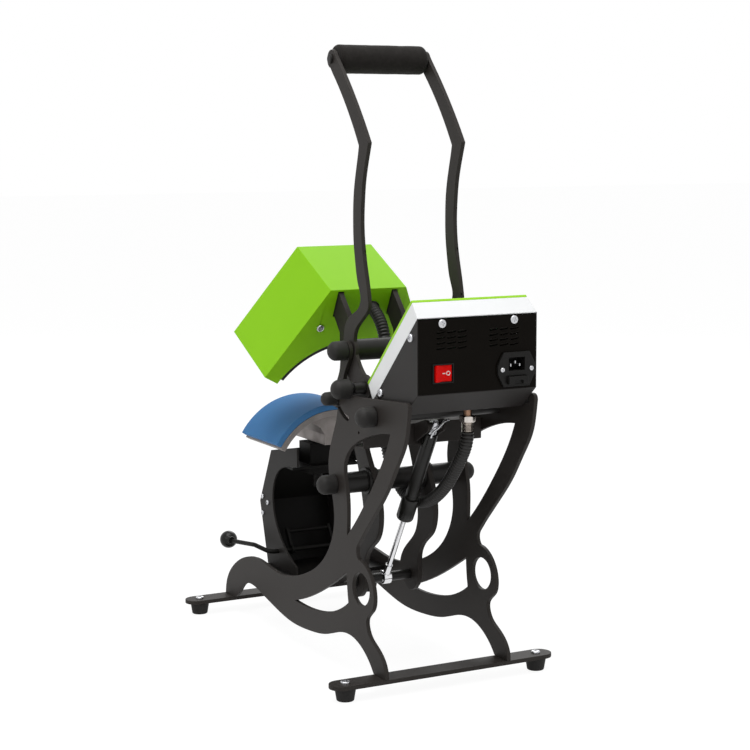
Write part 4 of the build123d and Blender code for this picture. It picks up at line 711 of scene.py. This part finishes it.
# ---------------------------------------------------------------- control box
# A folded shell in black with a glossy rear panel. On its sloping top sits a white tray
# with a lime green control face, held by pan screws at its sides.
shell_black = finish("shell_black", (0.0158, 0.0140, 0.0132), (0.0205, 0.0184, 0.0175), rough=0.46, spread=0.12,
                     patch=12, grain=1100, depth=0.04, specular_ior_level=0.16)
cut_piece("control_box_shell", 0.5, shell_black, "powder_black")
cut_piece("box_spacers", 0.3, black_steel, "black_steel")
panel_gloss = finish("panel_gloss", (0.0044, 0.0035, 0.0025), (0.0058, 0.0047, 0.0036), rough=0.22, spread=0.1,
                     patch=14, grain=700, depth=0.02, specular_ior_level=0.035)
cut_piece("rear_panel", 0.35, panel_gloss, "powder_black")

# a pressed hood over each slot of the two vents
PANEL_Y = 0.3145
VENT_X = 0.040
SLOT_STEP = 0.016
ROW_STEP = 0.007
LOWEST_HOOD_Z = 0.4830
HOOD_HALVES = (0.0068, 0.0016, 0.0014, 1)
HOOD_LEAN = radians(8)
HOOD_SINK = 0.0002
hoods = []
for vent_x in (-VENT_X, VENT_X):
    for row in range(4):
        for column in (-1, 0, 1):
            bpy.ops.mesh.primitive_uv_sphere_add(segments=20, ring_count=10, radius=1)
            hood = bpy.context.object
            hood_place = (vent_x + column * SLOT_STEP, PANEL_Y - HOOD_SINK, LOWEST_HOOD_Z + row * ROW_STEP)
            hood.data.transform(Matrix.Translation(hood_place) @ Matrix.Rotation(HOOD_LEAN, 4, "Y")
                                @ Matrix.Diagonal(HOOD_HALVES))
            hoods.append(hood)
joined("louvre_hoods", hoods)
bpy.ops.object.shade_smooth()
settle(bpy.context.object, "frame", "powder_black", panel_gloss)

tray_white = finish("tray_white", (0.76, 0.77, 0.775), (0.72, 0.73, 0.735), rough=0.4, spread=0.1, patch=8,
                    grain=1200, depth=0.03, specular_ior_level=0.4)
cut_piece("control_tray", 0.6, tray_white, "tray_white")
face_green = finish("face_green", (0.275, 0.585, 0.012), (0.295, 0.605, 0.018), rough=0.42, spread=0.1, patch=8,
                    grain=900, depth=0.02, specular_ior_level=0.25)
cut_piece("control_face", 0.5, face_green, "face_green")
board_green = finish("board_green", (0.010, 0.085, 0.030), (0.014, 0.110, 0.040), rough=0.4, spread=0.2, patch=120,
                     grain=600, depth=0.03)
cut_piece("control_board", 0.2, board_green, "board_green")
BOX_HALF = 0.0912
SIDE_SCREWS = ((0.298, 0.4957), (0.2149, 0.4134))
PANEL_SCREW_X = 0.0549
PANEL_SCREW_Z = 0.5140
screws("box_screw_heads", "box_screws", "zinc_steel", box_head,
       [((side * BOX_HALF, y, z), (side, 0, 0)) for y, z in SIDE_SCREWS for side in (1, -1)]
       + [((x, PANEL_Y, PANEL_SCREW_Z), (0, 1, 0)) for x in (PANEL_SCREW_X, -PANEL_SCREW_X)], zinc_steel, "frame")
bpy.data.objects.remove(box_head)

# ---------------------------------------------------------------- display and buttons
# A dark window over a three-digit display, and three push buttons with raised marks:
# a ring to set, and arrows for down and up.
display_glass = finish("display_glass", (0.012, 0.014, 0.012), (0.016, 0.019, 0.016), rough=0.08, spread=0.05,
                       patch=30, grain=400, depth=0.002, specular_ior_level=0.6, coat_weight=0.6,
                       coat_roughness=0.04)
cut_piece("display_window", 0.4, display_glass, "display_glass")
button_grey = finish("button_grey", (0.20, 0.20, 0.205), (0.24, 0.24, 0.245), rough=0.5, spread=0.1, patch=150,
                     grain=1500, depth=0.03)
for button in ("set_button", "down_button", "up_button"):
    cut_piece(button, 0.9, button_grey, "button_grey", segments=3)

mark_white = finish("mark_white", (0.72, 0.72, 0.70), (0.66, 0.66, 0.64), rough=0.5, spread=0.1, patch=150, grain=1200,
                    depth=0.02)
segment_grey = finish("segment_grey", (0.055, 0.062, 0.052), (0.060, 0.068, 0.056), rough=0.4, spread=0.05, patch=60,
                      grain=500, depth=0.005)
TRAY_TILT = radians(44.8)
BOX_TOP_Z = 0.5224
TRAY_HALF = 0.087
FACE_ORIGIN = Vector((0, PANEL_Y, BOX_TOP_Z)) - TRAY_HALF * Vector((0, cos(TRAY_TILT), sin(TRAY_TILT)))
face_place = Matrix.Translation(FACE_ORIGIN) @ Matrix.Rotation(TRAY_TILT, 4, "X")


def prism(name, outline, low, high):
    """A flat piece with the given outline, from height low to height high."""
    count = len(outline)
    ends = [tuple(range(count - 1, -1, -1)), tuple(range(count, 2 * count))]
    walls = [(n, (n + 1) % count, (n + 1) % count + count, n + count) for n in range(count)]
    mesh = bpy.data.meshes.new(name)
    mesh.from_pydata([(x, y, z) for z in (low, high) for x, y in outline], [], ends + walls)
    return placed(name, mesh)


def segment(x, y, length, thick, upright):
    """The six corners of one bar of a digit, centred at (x, y)."""
    half, side = length / 2, thick / 2
    corners = [(-half, 0), (-half + side, -side), (half - side, -side),
               (half, 0), (half - side, side), (-half + side, side)]
    return [(x - v + 0.1 * u, y + u) if upright else (x + u, y + v) for u, v in corners]


GLASS_TOP = 0.0316
WINDOW_Y = 0.028
DIGIT_PITCH = 0.024
BAR_LENGTH = 0.0112
BAR_WIDTH = 0.0024
BAR_HEIGHT = 0.00012
DIGIT_BARS = ((0.0011, 0.0119, False), (0, 0, False), (-0.0011, -0.0119, False), (0.0073, 0.006, True),
              (-0.0061, 0.006, True), (0.0061, -0.006, True), (-0.0073, -0.006, True))
bars = []
for digit_x in (-DIGIT_PITCH, 0, DIGIT_PITCH):
    for bar_x, bar_y, upright in DIGIT_BARS:
        outline = segment(digit_x + bar_x, WINDOW_Y + bar_y, BAR_LENGTH, BAR_WIDTH, upright)
        bars.append(prism("bar", outline, GLASS_TOP, GLASS_TOP + BAR_HEIGHT))
digits = joined("display_digits", bars)
digits.data.transform(face_place)
settle(digits, "frame", "display_glass", segment_grey)

BUTTON_TOP = 0.0335
BUTTON_Y = -0.042
BUTTON_PITCH = 0.038
RING_R = 0.0030
RING_LINE_R = 0.0005
for button, x, corners in (("down_button", 0, [(0.0030, 0.0016), (-0.0030, 0.0016), (0, -0.0032)]),
                           ("up_button", BUTTON_PITCH, [(-0.0030, -0.0016), (0.0030, -0.0016), (0, 0.0032)])):
    mark = prism(button + "_mark", corners, -0.0002, 0.0003)
    mark.data.transform(face_place @ Matrix.Translation((x, BUTTON_Y, BUTTON_TOP)))
    broken_edges(mark, 0.1, 1, 35)
    settle(mark, button, "tray_white", mark_white)
bpy.ops.mesh.primitive_torus_add(major_radius=RING_R, minor_radius=RING_LINE_R, major_segments=40, minor_segments=10)
mark = bpy.context.object
mark.name = "set_button_mark"
mark.data.transform(face_place @ Matrix.Translation((-BUTTON_PITCH, BUTTON_Y, BUTTON_TOP)))
bpy.ops.object.shade_smooth()
settle(mark, "set_button", "tray_white", mark_white)

# ---------------------------------------------------------------- rocker switch
# A snap-in mains switch: a black bezel and a red translucent rocker, printed with a
# bar for on and a ring for off.
switch_black = finish("switch_black", (0.0075, 0.0070, 0.0065), (0.0105, 0.0100, 0.0095), rough=0.34, spread=0.15,
                      patch=120, grain=1600, depth=0.03, specular_ior_level=0.15)
cut_piece("rocker_housing", 0.3, switch_black, "switch_black")
rocker_red = finish("rocker_red", (0.58, 0.002, 0.001), (0.68, 0.003, 0.002), rough=0.25, spread=0.08, patch=200,
                    grain=900, depth=0.01, specular_ior_level=0.07, subsurface_weight=0.1, subsurface_scale=0.002)
cut_piece("rocker", 0.7, rocker_red, "rocker_red", segments=3)
ROCKER_PIVOT = (0.0532, 0.3110, 0.4488)
ROCKER_REST = radians(8)
ROCKER_VALLEY = 0.0034
ROCKER_SLOPE = radians(11.66)
OFF_RING_R = 0.0025
OFF_PLACE = (-0.0076, 0, 0.00005)
ON_PLACE = (-0.0010, 0, 0)
rocker_face = (Matrix.Translation(ROCKER_PIVOT) @ Matrix.Rotation(ROCKER_REST, 4, "Z")
               @ Matrix.Translation((0, ROCKER_VALLEY, 0)) @ Matrix.Rotation(-ROCKER_SLOPE, 4, "Z")
               @ Matrix.Rotation(radians(-90), 4, "X"))
bpy.ops.mesh.primitive_torus_add(major_radius=OFF_RING_R, minor_radius=RING_LINE_R, major_segments=40, minor_segments=8)
off_ring = bpy.context.object
off_ring.data.transform(rocker_face @ Matrix.Translation(OFF_PLACE))
on_bar = prism("on_bar", [(-0.0022, -0.0006), (0.0022, -0.0006), (0.0022, 0.0006), (-0.0022, 0.0006)], -0.0001, 0.0004)
on_bar.data.transform(rocker_face @ Matrix.Translation(ON_PLACE))
settle(joined("rocker_marks", [off_ring, on_bar]), "rocker", "tray_white", mark_white)

# ---------------------------------------------------------------- mains inlet
# A moulded black inlet with three plated pins and a fuse drawer below them, held by
# two small screws in its ears.
cut_piece("power_inlet", 0.5, switch_black, "switch_black")
cut_piece("fuse_drawer", 0.4, switch_black, "switch_black")
cut_piece("inlet_pins", 0.5, zinc_steel, "zinc_steel")
INLET_X = -0.058
INLET_Z = 0.4482
FLANGE_Y = 0.3185
EAR_X = 0.0225
ear_head = pan_head(0.0032, 0.0018)
screws("inlet_screw_heads", "inlet_screws", "zinc_steel", ear_head,
       [((INLET_X + ear, FLANGE_Y, INLET_Z), (0, 1, 0)) for ear in (EAR_X, -EAR_X)], zinc_steel, "frame")
bpy.data.objects.remove(ear_head)

# ---------------------------------------------------------------- cable gland
# A brass gland under the box: a slim neck, a bright plated hexagon and a threaded
# sleeve that the end of the conduit screws on to.
GLAND_X = -0.030
GLAND_Y = 0.238
NECK_Z = 0.3769
NUT_Z = 0.3684
SLEEVE_Z = 0.3541
RING_PITCH = 0.0018
RING_COUNT = 8
GLAND_NUT_CORNER_R = 0.0114
GLAND_NUT_HEIGHT = 0.0086
GLAND_NUT_BORE_R = 0.0045
GLAND_NUT_TURN = radians(8)
brass = finish("brass", (0.34, 0.20, 0.13), (0.27, 0.155, 0.10), rough=0.34, spread=0.2, patch=180, grain=2200,
               depth=0.015, metallic=0.9)
nickel = finish("nickel", (0.66, 0.62, 0.58), (0.55, 0.51, 0.47), rough=0.24, spread=0.18, patch=180, grain=2200,
                depth=0.012, metallic=1)
neck = lathe("gland_neck", [(0, 0), (0.0058, 0), (0.0058, 0.0155), (0.0078, 0.0157), (0.0078, 0.0225), (0, 0.0225)], 32)
neck.data.transform(Matrix.Translation((GLAND_X, GLAND_Y, NECK_Z)))
settle(neck, "frame", "brass_nickel", brass, "cable_gland")
gland_nut = hex_nut("gland_nut", GLAND_NUT_CORNER_R, GLAND_NUT_HEIGHT, GLAND_NUT_BORE_R)
gland_nut.data.transform(Matrix.Translation((GLAND_X, GLAND_Y, NUT_Z)) @ Matrix.Rotation(GLAND_NUT_TURN, 4, "Z"))
settle(gland_nut, "frame", "brass_nickel", nickel)
sleeve_line = [(0, 0), (0.0075, 0)]
for ring in range(RING_COUNT):
    sleeve_line += [(0.0076, ring * RING_PITCH + 0.0003), (0.0085, ring * RING_PITCH + 0.0009)]
sleeve_line += [(0.0076, RING_COUNT * RING_PITCH), (0, RING_COUNT * RING_PITCH)]
gland_thread = lathe("gland_thread", sleeve_line, 40)
gland_thread.data.transform(Matrix.Translation((GLAND_X, GLAND_Y, SLEEVE_Z)))
settle(gland_thread, "frame", "brass_nickel", nickel)
